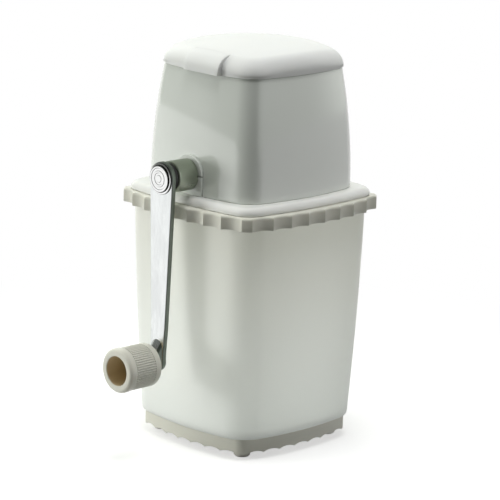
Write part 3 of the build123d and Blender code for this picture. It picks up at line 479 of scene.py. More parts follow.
gloss_white = moulded_plastic("gloss_white_plastic", (0.80, 0.835, 0.79), (0.785, 0.82, 0.77), 0.24, 1.0,
                              specular=0.8, coat_ior=1.8, subsurface=0.0)
lid_white = moulded_plastic("lid_white_plastic", (0.87, 0.875, 0.865), (0.855, 0.865, 0.85), 0.3, 0.3)
lip_white = moulded_plastic("lip_warm_white", (0.92, 0.92, 0.895), (0.905, 0.905, 0.875), 0.3, 0.6)
ivory = moulded_plastic("ivory_plastic", (0.78, 0.77, 0.69), (0.76, 0.75, 0.66), 0.35, 0.05)
# painted shade: a darker, warmer copy of the knob's ivory for the inside of its bore, standing for the shade and
# warm bounce in the hole
painted_shade_bore = moulded_plastic("bore_painted_shade_plastic", (0.72, 0.60, 0.40), (0.68, 0.55, 0.36), 0.5, 0.0)
knob_ivory = moulded_plastic("knob_ivory_plastic", (0.80, 0.79, 0.71), (0.77, 0.76, 0.67), 0.35, 0.5)
inner_white = moulded_plastic("inner_white_plastic", (0.78, 0.78, 0.76), (0.75, 0.75, 0.73), 0.45, 0.0)
bush_plastic = moulded_plastic("bush_plastic", (0.72, 0.70, 0.64), (0.69, 0.67, 0.6), 0.4, 0.0)
# painted shade: near black for the washer, standing for the shade in the groove between the hub sleeve and the
# arm
dark_plastic = moulded_plastic("groove_painted_shade_plastic", (0.03, 0.03, 0.03), (0.02, 0.02, 0.02), 0.4, 0.0,
                               subsurface=0.0)
pale_rubber = moulded_plastic("pale_rubber", (0.74, 0.72, 0.66), (0.7, 0.68, 0.62), 0.6, 0.0,
                              subsurface=0.0)
frosted = frosted_plastic("frosted_cup_plastic")
arm_plate = plated_metal("arm_plating", (0.93, 0.955, 0.95), 0.22, (90.0, 90.0, 30.0), 0.14)
# painted shade: a dark copy of the arm's plating for the bar's side faces, which stand in shade
painted_shade_arm_side = plated_metal("arm_side_painted_shade_plating", (0.22, 0.25, 0.22), 0.35, (90.0, 90.0, 30.0), 0.2)
# painted shade: a near black copy of the cap plating for the caps' rims
painted_shade_cap_rim = plated_metal("cap_rim_painted_shade_plating", (0.025, 0.028, 0.025), 0.15, (60.0, 60.0, 60.0), 0.3)
hub_plate = plated_metal("hub_plating", (0.43, 0.47, 0.39), 0.32, (60.0, 20.0, 60.0), 0.08, 0.000002)
cap_plate = plated_metal("cap_plating", (0.95, 0.955, 0.95), 0.2, (60.0, 60.0, 60.0), 0.05)
works_steel = plated_metal("works_steel", (0.6, 0.6, 0.6), 0.3, (40.0, 200.0, 40.0), 0.12)


def paint(piece, mat):
    """The piece, or carried-over node, wears one material."""
    piece.data.materials.clear()
    piece.data.materials.append(mat)


def second_finish(piece, mat, chosen):
    """A second material on the faces that chosen(middle in mm, normal) picks."""
    piece.data.materials.append(mat)
    for face in piece.data.polygons:
        if chosen(Vector(face.center) / MM, face.normal):
            face.material_index = 1


def place(piece, body, nodes, mat, slot_name, second=None):
    """Finish a new piece: its materials, the nodes it stands for, the body it rides on."""
    paint(piece, mat)
    if second:
        second_finish(piece, *second)
    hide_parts(*nodes)
    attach(piece, body)


# ---------------------------------------------------------------- container
CUP_LOW, CUP_TOP, CUP_WALL = 12.65, 151.8, 2.4


def container_half(z):
    """Half width of the cup at a level: widens upwards with slightly bellied sides."""
    share = (z - CUP_LOW) / (CUP_TOP - CUP_LOW)
    return 53.6 + 5.0 * share + 0.7 * 4 * share * (1 - share)


def make_container():
    """The open cup: spigot below, floor, wall inside and out."""
    rows = [ring(44.0, 6.6, 7.0, CUP_LOW), ring(44.0, 6.6, 7.0, 8.75), ring(44.4, 6.6, 7.4, 8.45),
            ring(45.7, 6.6, 8.7, 8.45), ring(46.0, 6.6, 9.0, 8.75), ring(46.0, 6.6, 9.0, CUP_LOW)]
    for inset, rise in ((2.4, 0.0), (1.6, 0.14), (0.8, 0.6), (0.25, 1.3), (0.0, 2.4)):
        rows.append(ring(container_half(CUP_LOW + rise) - inset, 5.8, 20.0 - inset, CUP_LOW + rise))
    for i in range(1, 25):
        z = 15.05 + (151.4 - 15.05) * i / 24
        rows.append(ring(container_half(z), 5.8, 20.0, z))
    for inset in (0.4, 2.0):
        rows.append(ring(container_half(CUP_TOP) - inset, 5.8, 20.0 - inset, CUP_TOP))
    for i in range(24, -1, -1):
        z = 18.0 + (151.4 - 18.0) * i / 24
        rows.append(ring(container_half(z) - CUP_WALL, 5.8, 20.0 - CUP_WALL, z))
    rows.append(ring(container_half(15.25) - 3.2, 5.8, 16.8, 16.1))
    rows.append(ring(container_half(15.25) - 5.2, 5.8, 14.8, 15.25))
    return new_piece("cup_wall", [skin(rows, cap_first=True, cap_last=True)])


place(make_container(), "base", ["container"], frosted, "frosted")


# ---------------------------------------------------------------- collar and base ring
def scallop_marks(half, bow, corner, count, pitch, per_scallop=12, at_corner=6):
    """(share of the side, along) for the points of one side: ridges fall on points."""
    corner_place = side_profile(half, bow, corner)[1]
    edge = count * pitch / 2
    marks = []
    for i in range(at_corner):
        marks.append(((-corner_place + (corner_place - edge) * i / at_corner) / corner_place, 0.0))
    for i in range(count * per_scallop):
        share = i / (count * per_scallop)
        marks.append(((-edge + 2 * edge * share) / corner_place, share))
    for i in range(at_corner):
        marks.append(((edge + (corner_place - edge) * i / at_corner) / corner_place, 1.0))
    return marks


def chord_ring(half, bow, corner, z, marks, count):
    """Row whose points lie on straight chords from ridge to ridge, and each point's inward turn."""
    row, inward = [], []
    depth, corner_place = side_profile(half, bow, corner)
    edge_share = [share for share, along in marks if along == 0.0][-1]
    last_share = [share for share, along in marks if along == 1.0][0]
    for side in range(4):
        turn = side * pi / 2
        for share, along in marks:
            if edge_share <= share < last_share:
                flute = min(int(along * count + 1e-6), count - 1)
                f = along * count - flute
                ends = []
                for k in (flute, flute + 1):
                    at = (edge_share + (last_share - edge_share) * k / count) * corner_place
                    ends.append((depth(at), at))
                (x0, y0), (x1, y1) = ends
                x, y = x0 + (x1 - x0) * f, y0 + (y1 - y0) * f
                long = sqrt((x1 - x0) ** 2 + (y1 - y0) ** 2)
                nx, ny = -(y1 - y0) / long, (x1 - x0) / long
            else:
                y = share * corner_place
                x, nx, ny = depth(y), 0.0, 0.0
            row.append((x * cos(turn) - y * sin(turn), x * sin(turn) + y * cos(turn) + BODY_Y, z))
            inward.append(((nx * cos(turn) - ny * sin(turn)) * MM, (nx * sin(turn) + ny * cos(turn)) * MM, 0.0))
    return row, inward


def make_collar():
    """Ring round the cup's rim: concave flutes that meet in sharp ridges, flange inside."""
    count, pitch = 8, 13.1
    marks = scallop_marks(65.0, 7.8, 20.0, count, pitch)
    rows, inward = [], []
    for inset, z in ((0.5, 144.8), (0.15, 144.95), (0.0, 145.3), (0.0, 148.0), (0.0, 151.6), (0.12, 152.2),
                     (0.45, 152.7), (1.0, 153.0)):
        row, turn = chord_ring(65.0 - inset, 7.8, 20.0 - inset, z, marks, count)
        rows.append(row)
        inward += turn
    shares = [share for share, _ in marks]
    for half, bow, corner, z in ((60.6, 6.2, 19.0, 153.0), (55.4, 5.8, 16.8, 153.0), (55.2, 5.8, 16.6, 152.8),
                                 (55.2, 5.8, 16.6, 151.85), (58.75, 5.8, 20.0, 151.85), (58.75, 5.8, 20.0, 145.0),
                                 (58.95, 5.8, 20.2, 144.8)):
        rows.append(stepped_ring(half, bow, corner, z, shares))
        inward += [(0.0, 0.0, 0.0)] * (4 * len(marks))
    along = [a for _ in rows for _ in range(4) for _, a in marks]
    piece = new_piece("collar", [skin(rows, closed=True)], layers=[
        ("along", "FLOAT", along), ("across", "FLOAT_VECTOR", inward)])
    return run_tree(piece, scallops, {"Scallops": float(count), "Depth": 2.3, "Material": ivory}, 30.0)


def make_base_ring():
    """Foot ring: a low wall with scallops along its lower edge and a plate for the feet."""
    count, pitch = 7, 11.8
    marks = scallop_marks(51.2, 6.6, 9.0, count, pitch)
    shares = [share for share, _ in marks]
    section = [(51.2 - 0.3, 3.4, 1), (51.2, 3.7, 1), (51.2, 6.0, 0), (51.2, 12.1, 0), (51.2 - 0.15, 12.45, 0),
               (51.2 - 0.5, 12.6, 0), (48.3, 12.6, 0), (48.0, 12.3, 0), (48.0, 8.0, 0)]
    rows, up = [], []
    for half, z, follows in section:
        rows.append(stepped_ring(half, 6.6, 9.0 - (51.2 - half), z, shares))
        up += [(0.0, 0.0, follows * MM)] * (4 * len(marks))
    for z, radius in ((8.0, 30.3), (7.7, 30.0), (5.9, 30.0), (5.6, 30.3)):
        circle = []
        for x, y, _ in rows[0]:
            turn = atan2(y - BODY_Y, x)
            circle.append((radius * cos(turn), radius * sin(turn) + BODY_Y, z))
        rows.append(circle)
        up += [(0.0, 0.0, 0.0)] * len(circle)
    for half, z, follows in ((48.0, 5.6, 0), (48.0, 3.7, 1), (48.3, 3.4, 1)):
        rows.append(stepped_ring(half, 6.6, 9.0 - (51.2 - half), z, shares))
        up += [(0.0, 0.0, follows * MM)] * (4 * len(marks))
    along = [a for _ in rows for _ in range(4) for _, a in marks]
    piece = new_piece("foot_ring", [skin(rows, closed=True)], layers=[
        ("along", "FLOAT", along), ("across", "FLOAT_VECTOR", up)])
    return run_tree(piece, scallops, {"Scallops": float(count), "Depth": 1.3, "Material": ivory}, 30.0)


scallops = scallop_tree()
place(make_collar(), "base", ["collar_ring"], ivory, "ivory")
place(make_base_ring(), "base", ["base_ring"], ivory, "ivory")


# ---------------------------------------------------------------- deck
def rectangle_row(half_x, half_y, corner, z, side_points=48, corner_points=14):
    """Closed row round a rectangle, its points spaced as those of a ring."""
    row = []
    for side, (hx, hy) in enumerate(((half_x, half_y), (half_y, half_x), (half_x, half_y), (half_y, half_x))):
        turn = side * pi / 2
        local = [(hx, (hy - corner) * (-1 + 2 * i / side_points)) for i in range(side_points)]
        local += [(hx - corner + corner * cos(pi / 2 * i / corner_points),
                   hy - corner + corner * sin(pi / 2 * i / corner_points)) for i in range(corner_points)]
        row += [(x * cos(turn) - y * sin(turn), x * sin(turn) + y * cos(turn) + BODY_Y, z) for x, y in local]
    return row


def make_deck():
    """Deck with a rolled upper edge, the skirt below it and the opening over the cup."""
    edge = 4.1
    rows = [rectangle_row(27.0, 32.3, 3.0, DECK_LOW), rectangle_row(27.0, 32.3, 3.0, DECK_TOP - 0.3),
            rectangle_row(27.3, 32.6, 3.3, DECK_TOP), rectangle_row(40.0, 42.0, 8.0, DECK_TOP)]
    for i in range(13):
        inset = edge * (1 - sin(pi / 2 * i / 12))
        drop = edge * (1 - cos(pi / 2 * i / 12))
        rows.append(ring(58.6 - inset, 4.9, 12.0 - inset, DECK_TOP - drop))
    rows += [ring(58.6, 4.9, 12.0, DECK_LOW + 0.25), ring(58.35, 4.9, 11.75, DECK_LOW),
             ring(54.4, 5.6, 16.0, DECK_LOW), ring(54.4, 5.6, 16.0, 146.0), ring(54.1, 5.6, 15.7, 145.7),
             ring(52.5, 5.6, 14.1, 145.7), ring(52.2, 5.6, 13.8, 146.0), ring(52.2, 5.6, 13.8, DECK_LOW)]
    return new_piece("deck_plate", [skin(rows, closed=True)])


place(make_deck(), "upper", ["deck"], lip_white, "deck_white")


# ---------------------------------------------------------------- hopper
def hopper_half(z):
    """Half width of the hopper at a level: its sides lean in along a long arc."""
    return 50.9 - (z - 160.0) ** 2 / (2 * 480.0)


def upright_post(x, y, z0, z1, radius, segments=28):
    """Part: upright round post."""
    rows = []
    for z, r in ((z0, radius - 0.3), (z0 + 0.3, radius), (z1 - 0.3, radius), (z1, radius - 0.3)):
        rows.append([(x + r * cos(2 * pi * i / segments), y + BODY_Y + r * sin(2 * pi * i / segments), z)
                     for i in range(segments)])
    return skin(rows, cap_first=True, cap_last=True)


def half_round_boss():
    """Part: the upper half of the bearing, a half round pad on the crank side."""
    rows = []
    for y, radius, low in ((-47.5, 11.7, 0.2), (-51.59, 11.7, 0.2), (-51.94, 11.55, 0.3), (-52.09, 11.2, 0.5)):
        rows.append([(radius * cos(pi * i / 40), y + BODY_Y, CRANK_Z + max(low, radius * sin(pi * i / 40)))
                     for i in range(41)])
    return skin(rows, cap_first=True, cap_last=True)


def make_hopper():
    """The shell, open below, with its shelf, the upright rim inside the lid, posts and hinge."""
    fine = {"side_points": 72}
    levels = [158.25 + (231.3 - 158.25) * i / 30 for i in range(31)]
    rows = [ring(hopper_half(157.95) - 0.3, 5.7, 15.2, 157.95, **fine)]
    rows += [ring(hopper_half(z), 5.7, 15.5, z, **fine) for z in levels]
    rows.append(ring(hopper_half(231.6) - 0.1, 5.7, 15.4, 231.58, **fine))
    rows.append(ring(hopper_half(231.7) - 0.4, 5.7, 15.1, HOPPER_TOP, **fine))
    for half, z in ((43.4, HOPPER_TOP), (43.2, 231.9), (43.2, 234.4), (42.8, 234.8), (41.2, 234.8), (40.8, 234.4),
                    (40.8, 228.5)):
        rows.append(ring(half, 5.7, half - 28.8, z, **fine))
    rows.append(ring(hopper_half(228.5) - 2.4, 5.7, 13.1, 228.5, **fine))
    rows += [ring(hopper_half(z) - 2.4, 5.7, 13.1, z, **fine) for z in reversed(levels[:-2])]
    rows.append(ring(hopper_half(157.95) - 2.1, 5.7, 13.4, 157.95, **fine))
    parts = [skin(rows, closed=True), half_round_boss()]
    parts += [upright_post(x, y, 157.95, 169.95, 4.5) for x in (-39.0, 39.0) for y in (-39.0, 39.0)]
    parts.append(hinge_tube(-5.9, 5.9, HINGE_Y, HINGE_Z, 3.2))
    parts.append(block(-5.9, 5.9, 44.5, HINGE_Y, 228.4, 230.9, 0.25))
    return new_piece("hopper_wall", parts)


place(make_hopper(), "upper", ["hopper_shell"], gloss_white, "gloss_white")
saddle = new_piece("saddle_block", [block(-11.7, 11.7, BOSS_FACE, -46.7, 157.95, 170.05, 0.5)])
place(saddle, "upper", ["bearing_saddle"], gloss_white, "gloss_white")


# ---------------------------------------------------------------- lid
def dome(x, y, top=LID_CROWN, radius=LID_DOME):
    """Height of the lid's shallow dome over a place, y from the middle of the body."""
    return top - radius + sqrt(radius * radius - x * x - y * y)


def lid_rows(half, corner, edge, top, radius, low):
    """Rows of one face of the lid, from its lower edge over the round edge to the middle."""
    rows = [ring(half, 5.8, corner, z) for z in (low, low + 1.5)]
    for i in range(15):
        inset = edge * (1 - cos(pi / 2 * i / 14))
        lift = edge * sin(pi / 2 * i / 14)
        rows.append(ring(half - inset, 5.8, corner - inset, 0, shape=lambda x, y, z: (
            x, y, dome(x, y, top, radius) - edge + lift)))
    last = rows[-1]
    for s in (0.9, 0.78, 0.65, 0.5, 0.35, 0.2, 0.07):
        rows.append([(x * s, (y - BODY_Y) * s + BODY_Y, dome(x * s, (y - BODY_Y) * s, top, radius))
                     for x, y, _ in last])
    return rows


def lid_tab():
    """Part: the finger tab, a stretch of the front edge that stands a little forward."""
    left, right, front, edge = -10.7, 19.3, -48.0, 8.5
    wall_at = side_profile(46.2, 5.8, 16.0)[0]
    rows = []
    places = [(left, 0.5), (left + 0.15, 0.15), (left + 0.5, 0.0)]
    places += [(left + 0.5 + (right - left - 1.0) * i / 12, 0.0) for i in range(1, 12)]
    places += [(right - 0.5, 0.0), (right - 0.15, 0.15), (right, 0.5)]
    for x, inset in places:
        shift = 46.2 - wall_at(x)
        section = [(-36.2 + shift, dome(x, -36.2) - 0.5), (-37.7, dome(x, -37.7) - inset)]
        for i in range(13):
            y = front + edge - edge * sin(pi / 2 * i / 12)
            lift = edge * cos(pi / 2 * i / 12)
            section.append((y + inset * (i / 12), dome(x, y) - edge + lift - inset * (1 - i / 12)))
        section += [(front + inset, LID_LOW + 0.3), (front + 0.3 + inset, LID_LOW), (-45.0 + shift, LID_LOW)]
        for i in range(7):
            a = radians(180 - 90 * i / 6)
            section.append((-37.7 + shift + 7.3 * cos(a), dome(x, -37.7) - 8.5 + 7.3 * sin(a)))
        rows.append([(x, y + BODY_Y, z) for y, z in section])
    return skin(rows, cap_first=True, cap_last=True)


def make_lid():
    """Shallow domed cap, hollow, with its finger tab and two hinge knuckles."""
    outer = lid_rows(46.2, 16.0, 8.5, LID_CROWN, LID_DOME, LID_LOW + 0.25)
    inner = lid_rows(44.0, 13.8, 6.3, LID_CROWN - 2.2, LID_DOME - 2.2, LID_LOW + 0.25)
    edge = [ring(44.25, 5.8, 14.05, LID_LOW), ring(45.95, 5.8, 15.75, LID_LOW)]
    parts = [skin(list(reversed(inner)) + edge + outer, cap_first=True, cap_last=True), lid_tab()]
    for side in (-1, 1):
        x0, x1 = sorted((side * 6.3, side * 15.0))
        parts.append(hinge_tube(x0, x1, HINGE_Y, HINGE_Z, 3.2))
        parts.append(block(x0, x1, 44.6, HINGE_Y, 232.3, 234.8, 0.25))
    return new_piece("lid_cap", parts)


place(make_lid(), "lid", ["lid"], lid_white, "gloss_white")


# ---------------------------------------------------------------- hub, caps, washer
def make_sleeve():
    """Hub sleeve between the bearing and the arm, with a round outer edge."""
    profile = [(-52.39, 8.3), (-52.39, 9.2), (-52.59, 9.6)]
    profile += [(-66.2, 9.6)] + arc_points(-66.39, 8.8, 0.8, 90, 180, 6)[1:]
    profile += [(-67.19, 6.0), (-66.9, 5.8), (-52.6, 5.8), (-52.39, 6.2)]
    return new_piece("hub_tube", [turned(profile, CRANK_Z)])


def make_rear_cap():
    """Rear hub cap: a plain disc with soft edges."""
    profile = [(-73.74, 0.0), (-73.74, 9.35), (-73.9, 9.6), (-74.2, 9.6), (-74.5, 9.4), (-74.64, 9.1),
               (-74.64, 0.0)]
    return new_piece("rear_disc", [turned(profile, CRANK_Z)])


def make_front_cap():
    """Front hub cap: a smaller disc with two plain turned rings in its face."""
    face, floor = -75.69, -75.5
    profile = [(-74.69, 0.0), (-74.69, 8.15), (-74.85, 8.4), (-75.1, 8.4), (-75.45, 8.15), (-75.63, 7.85),
               (face, 7.6)]
    for outer, inner in ((6.6, 4.7), (3.7, 2.0)):
        profile += [(face, outer), (floor, outer - 0.2), (floor, inner + 0.2), (face, inner)]
    profile.append((face, 0.0))
    return new_piece("front_disc", [turned(profile, CRANK_Z)], crease=25.0)


def make_seal():
    """The washer between the sleeve and the arm, painted near black as the shade in the groove there."""
    profile = [(-67.24, 5.8), (-67.24, 8.3), (-67.4, 8.5), (-70.2, 8.5), (-70.34, 8.3), (-70.34, 5.8)]
    return new_piece("dark_ring", [turned(profile, CRANK_Z)])


place(make_sleeve(), "crank", ["hub_sleeve"], hub_plate, "chrome")
# painted shade: the caps' rims wear the near black copy of their plating
painted_shade_rim = (painted_shade_cap_rim, lambda middle, normal: abs(normal.y) < 0.9)
place(make_rear_cap(), "crank", ["hub_cap_rear"], cap_plate, "chrome", painted_shade_rim)
place(make_front_cap(), "crank", ["hub_cap_front"], cap_plate, "chrome", painted_shade_rim)
# painted shade: the washer is near black for the shade in the groove it fills
place(make_seal(), "crank", ["arm_washer"], dark_plastic, "dark_plastic")


# ---------------------------------------------------------------- crank arm
def arm_outline(inset):
    """Right edge of the bar from its top to its bottom, (x, z): head arc, long side, foot arc."""
    head, foot = 10.0 - inset, 5.4 - inset
    tilt = asin((10.0 - 5.4) / (CRANK_Z - KNOB_Z))
    points = []
    for i in range(20):
        a = pi / 2 - (pi / 2 - tilt) * i / 20
        points.append((head * cos(a), CRANK_Z + head * sin(a)))
    for i in range(49):
        share = i / 48
        points.append(((head + (foot - head) * share) * cos(tilt),
                       CRANK_Z + head * sin(tilt) + (KNOB_Z - CRANK_Z + (foot - head) * sin(tilt)) * share))
    for i in range(1, 15):
        a = tilt - (pi / 2 + tilt) * i / 14
        points.append((foot * cos(a), KNOB_Z + foot * sin(a)))
    return points


def arm_back(z):
    """Back plane of the bar: it leans out a little, and a little more just above the knob."""
    stops = [(CRANK_Z - 10.0, -70.39), (KNOB_Z + 21.0, -70.99), (KNOB_Z + 7.0, -71.69)]
    if z >= stops[0][0]:
        return stops[0][1]
    for (z0, y0), (z1, y1) in zip(stops, stops[1:]):
        if z >= z1:
            return y0 + (y1 - y0) * (z0 - z) / (z0 - z1)
    return stops[-1][1]


def make_arm():
    """Tapering flat bar with softened edges and a sloping boss that carries the knob pin."""
    rows = []
    for inset, step in ((0.7, 0.0), (0.28, 0.12), (0.05, 0.4), (0.0, 0.8), (0.0, 2.5), (0.05, 2.9), (0.28, 3.18),
                        (0.7, 3.3)):
        side = arm_outline(inset)
        loop = side + [(-x, z) for x, z in reversed(side[1:-1])]
        rows.append([(x, arm_back(z) - step + BODY_Y, z) for x, z in loop])
    verts, faces = skin(rows)
    count, long = len(rows[0]), len(arm_outline(0))
    for start in (0, (len(rows) - 1) * count):
        for i in range(long - 1):
            left = [(count - k) % count for k in (i, i + 1)]
            quad = [start + i, start + i + 1, start + left[1], start + left[0]]
            faces.append(tuple(dict.fromkeys(quad)))
    boss_rows = []
    for i in range(15):
        t = min(1.0, i / 12)
        radius = 5.15 + (4.3 - 5.15) * t - (0, 0.12, 0.4)[max(0, i - 12)]
        y = -73.34 + (-81.29 + 73.34) * (t if i < 12 else (0.96, 0.985, 1.0)[i - 12])
        climb = 11.0 * (1 - t)
        loop = []
        for k in range(48):
            a = 2 * pi * (k + 0.5) / 48
            loop.append((radius * cos(a), y + BODY_Y, KNOB_Z + radius * sin(a) + (climb if sin(a) > 0 else 0.0)))
        boss_rows.append(loop)
    return new_piece("crank_bar", [(verts, faces), skin(boss_rows, cap_last=True, cap_first=True)], crease=40.0)


# painted shade: the bar's side faces wear the dark copy of its plating, the front keeps the bright one
place(make_arm(), "crank", ["crank_arm"], arm_plate, "arm_steel",
      (painted_shade_arm_side, lambda middle, normal: abs(normal.y) < 0.75))


# ---------------------------------------------------------------- knob
def make_knob():
    """Hollow cylindrical grip: plain tail, ribbed body, groove, round rim, deep bore."""
    tail, face = -81.59, -106.79
    profile = [(tail, 4.8), (tail, 11.6)] + arc_points(tail - 1.6, 11.6, 1.6, 0, 90, 8)[1:]
    profile += [(-86.2, 13.2), (-86.5, 12.75), (-100.9, 12.75), (-101.0, 12.5), (-101.35, 12.5), (-101.4, 13.2)]
    profile += arc_points(-101.9, 13.1, 0.5, 0, 90, 4)[1:]
    profile += arc_points(face + 2.2, 11.4, 2.2, 90, 180, 10)
    profile += [(face, 9.6)] + arc_points(face + 0.5, 9.5, 0.5, 180, 270, 4)
    profile += [(-91.39, 9.0), (-91.39, 4.8)]
    body = new_piece("knob_barrel", [turned(profile, KNOB_Z, 112)])
    return run_tree(body, rib_tree(), {
        "Ribs": 56, "Ring Radius": 12.72 * MM, "Rib Radius": 0.5 * MM, "Rib Length": 14.6 * MM,
        "Middle": (0.0, (-93.7 + BODY_Y) * MM, KNOB_Z * MM), "Material": knob_ivory}, 40.0)


def in_bore(middle, normal):
    """Faces of the knob's bore, a little in from its mouth, which wear the painted shade."""
    reach = sqrt(middle.x ** 2 + (middle.z - KNOB_Z) ** 2)
    return reach < 9.2 and middle.y > -106.0 + BODY_Y


# painted shade: the bore's faces wear the darker brown copy of the knob's colour
place(make_knob(), "knob", ["knob_grip"], knob_ivory, "ivory", (painted_shade_bore, in_bore))


# ---------------------------------------------------------------- screws of the upper part
def screw_profile(head, shank, head_z, neck_z, end_z):
    """Part: one upright screw about the frame's own upright axis, its thread as plain ridges."""
    profile = [(0.28 * head, head_z), (0.3 * head, head_z), (0.8 * head, head_z),
               (head, head_z + (neck_z - head_z) * 0.35), (head, neck_z), (shank, neck_z)]
    turns = 8
    for i in range(turns):
        low = neck_z + (end_z - neck_z) * (i + 0.5) / (turns + 1)
        profile += [(shank * 0.86, low), (shank, low + (end_z - neck_z) * 0.45 / (turns + 1))]
    profile += [(shank, end_z - (end_z - neck_z) * 0.05), (shank * 0.5, end_z)]
    rows = [[(r * cos(2 * pi * i / 20), r * sin(2 * pi * i / 20), z) for i in range(20)] for r, z in profile]
    return skin(rows, cap_first=True, cap_last=True)


def make_screws(name, node, head, shank, head_height, head_up=False):
    """Four screws at the corners of the node's own box."""
    low, high = (Vector(corner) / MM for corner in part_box(node))
    if head_up:
        part = screw_profile(head, shank, high.z, high.z - head_height, low.z)
    else:
        part = screw_profile(head, shank, low.z, low.z + head_height, high.z)
    piece = new_piece(name, [part], crease=30.0)
    middle = (low + high) / 2 * MM
    return run_tree(piece, screws, {
        "Spread X": (high.x - low.x - 2 * head) * MM, "Spread Y": (high.y - low.y - 2 * head) * MM,
        "Middle": (middle.x, middle.y, 0.0), "Material": works_steel}, 30.0)


screws = screw_tree()
place(make_screws("comb_screw_set", "comb_screws", 1.9, 1.2, 1.1, head_up=True), "upper", ["comb_screws"],
      works_steel, "steel")
for screw_node in ("chamber_screws", "shell_screws"):
    place(make_screws(screw_node[:-1] + "_set", screw_node, 3.0, 1.6, 2.0), "upper", [screw_node],
          works_steel, "steel")


# ---------------------------------------------------------------- carried-over nodes
finishes = {
    "feet": pale_rubber, "funnel": inner_white, "crushing_chamber": inner_white,
    "outer_bush": bush_plastic, "inner_bush": bush_plastic, "far_bush": bush_plastic,
    "thrust_washer": bush_plastic,
}
for node_name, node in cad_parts.items():
    if node.hide_render:
        continue
    plain = bush_plastic if node_name.startswith("rotor_spacer") else works_steel
    paint(node, finishes.get(node_name, plain))


# ---------------------------------------------------------------- camera
def make_camera():
    """Camera at the photograph's angle; its length is for an image of 500 x 500."""
    azimuth, elevation, roll = radians(45.935), radians(13.653), radians(1.514)
    back = Vector((sin(azimuth) * cos(elevation), -cos(azimuth) * cos(elevation), sin(elevation)))
    right = Vector((cos(azimuth), sin(azimuth), 0))
    up = back.cross(right)
    right_rolled = right * cos(roll) + up * sin(roll)
    up_rolled = right * -sin(roll) + up * cos(roll)
    spot = (back * 1703.434 + right * 0.846 + Vector((0, BODY_Y, 115.699))) * MM
    data = bpy.data.cameras.new("camera")
    data.sensor_width = 36
    data.lens = 2767.34 * 36 / 500
    data.clip_end = 20
    cam = bpy.data.objects.new("camera", data)
    turn = Matrix((right_rolled, up_rolled, back)).transposed().to_4x4()
    cam.matrix_world = Matrix.Translation(spot) @ turn
    bpy.context.scene.collection.objects.link(cam)
    bpy.context.scene.camera = cam


make_camera()


# ---------------------------------------------------------------- floor, world, lamps
FLOOR_GLOW = 0.55                    # what the floor adds to its lit colour for the camera
FLOOR_NEAR, FLOOR_FAR = 0.48, 0.08   # colour that bounces light, under the object and far out
# Patches of the surroundings: direction, cosines where each starts and is full, strength.
FILL_LEVEL, MIRROR_LEVEL = 0.02, 0.12
FILL_PATCHES = [((-1.0, -0.35, 0.2), 0.2, 1.0, 1.45), ((0.75, 0.65, 0.25), 0.3, 1.0, 0.12)]
MIRROR_PATCHES = [((-0.5, 0.85, 0.1), 0.2, 0.75, 0.9), ((0.8, 0.6, 0.1), 0.5, 0.9, 0.8)]


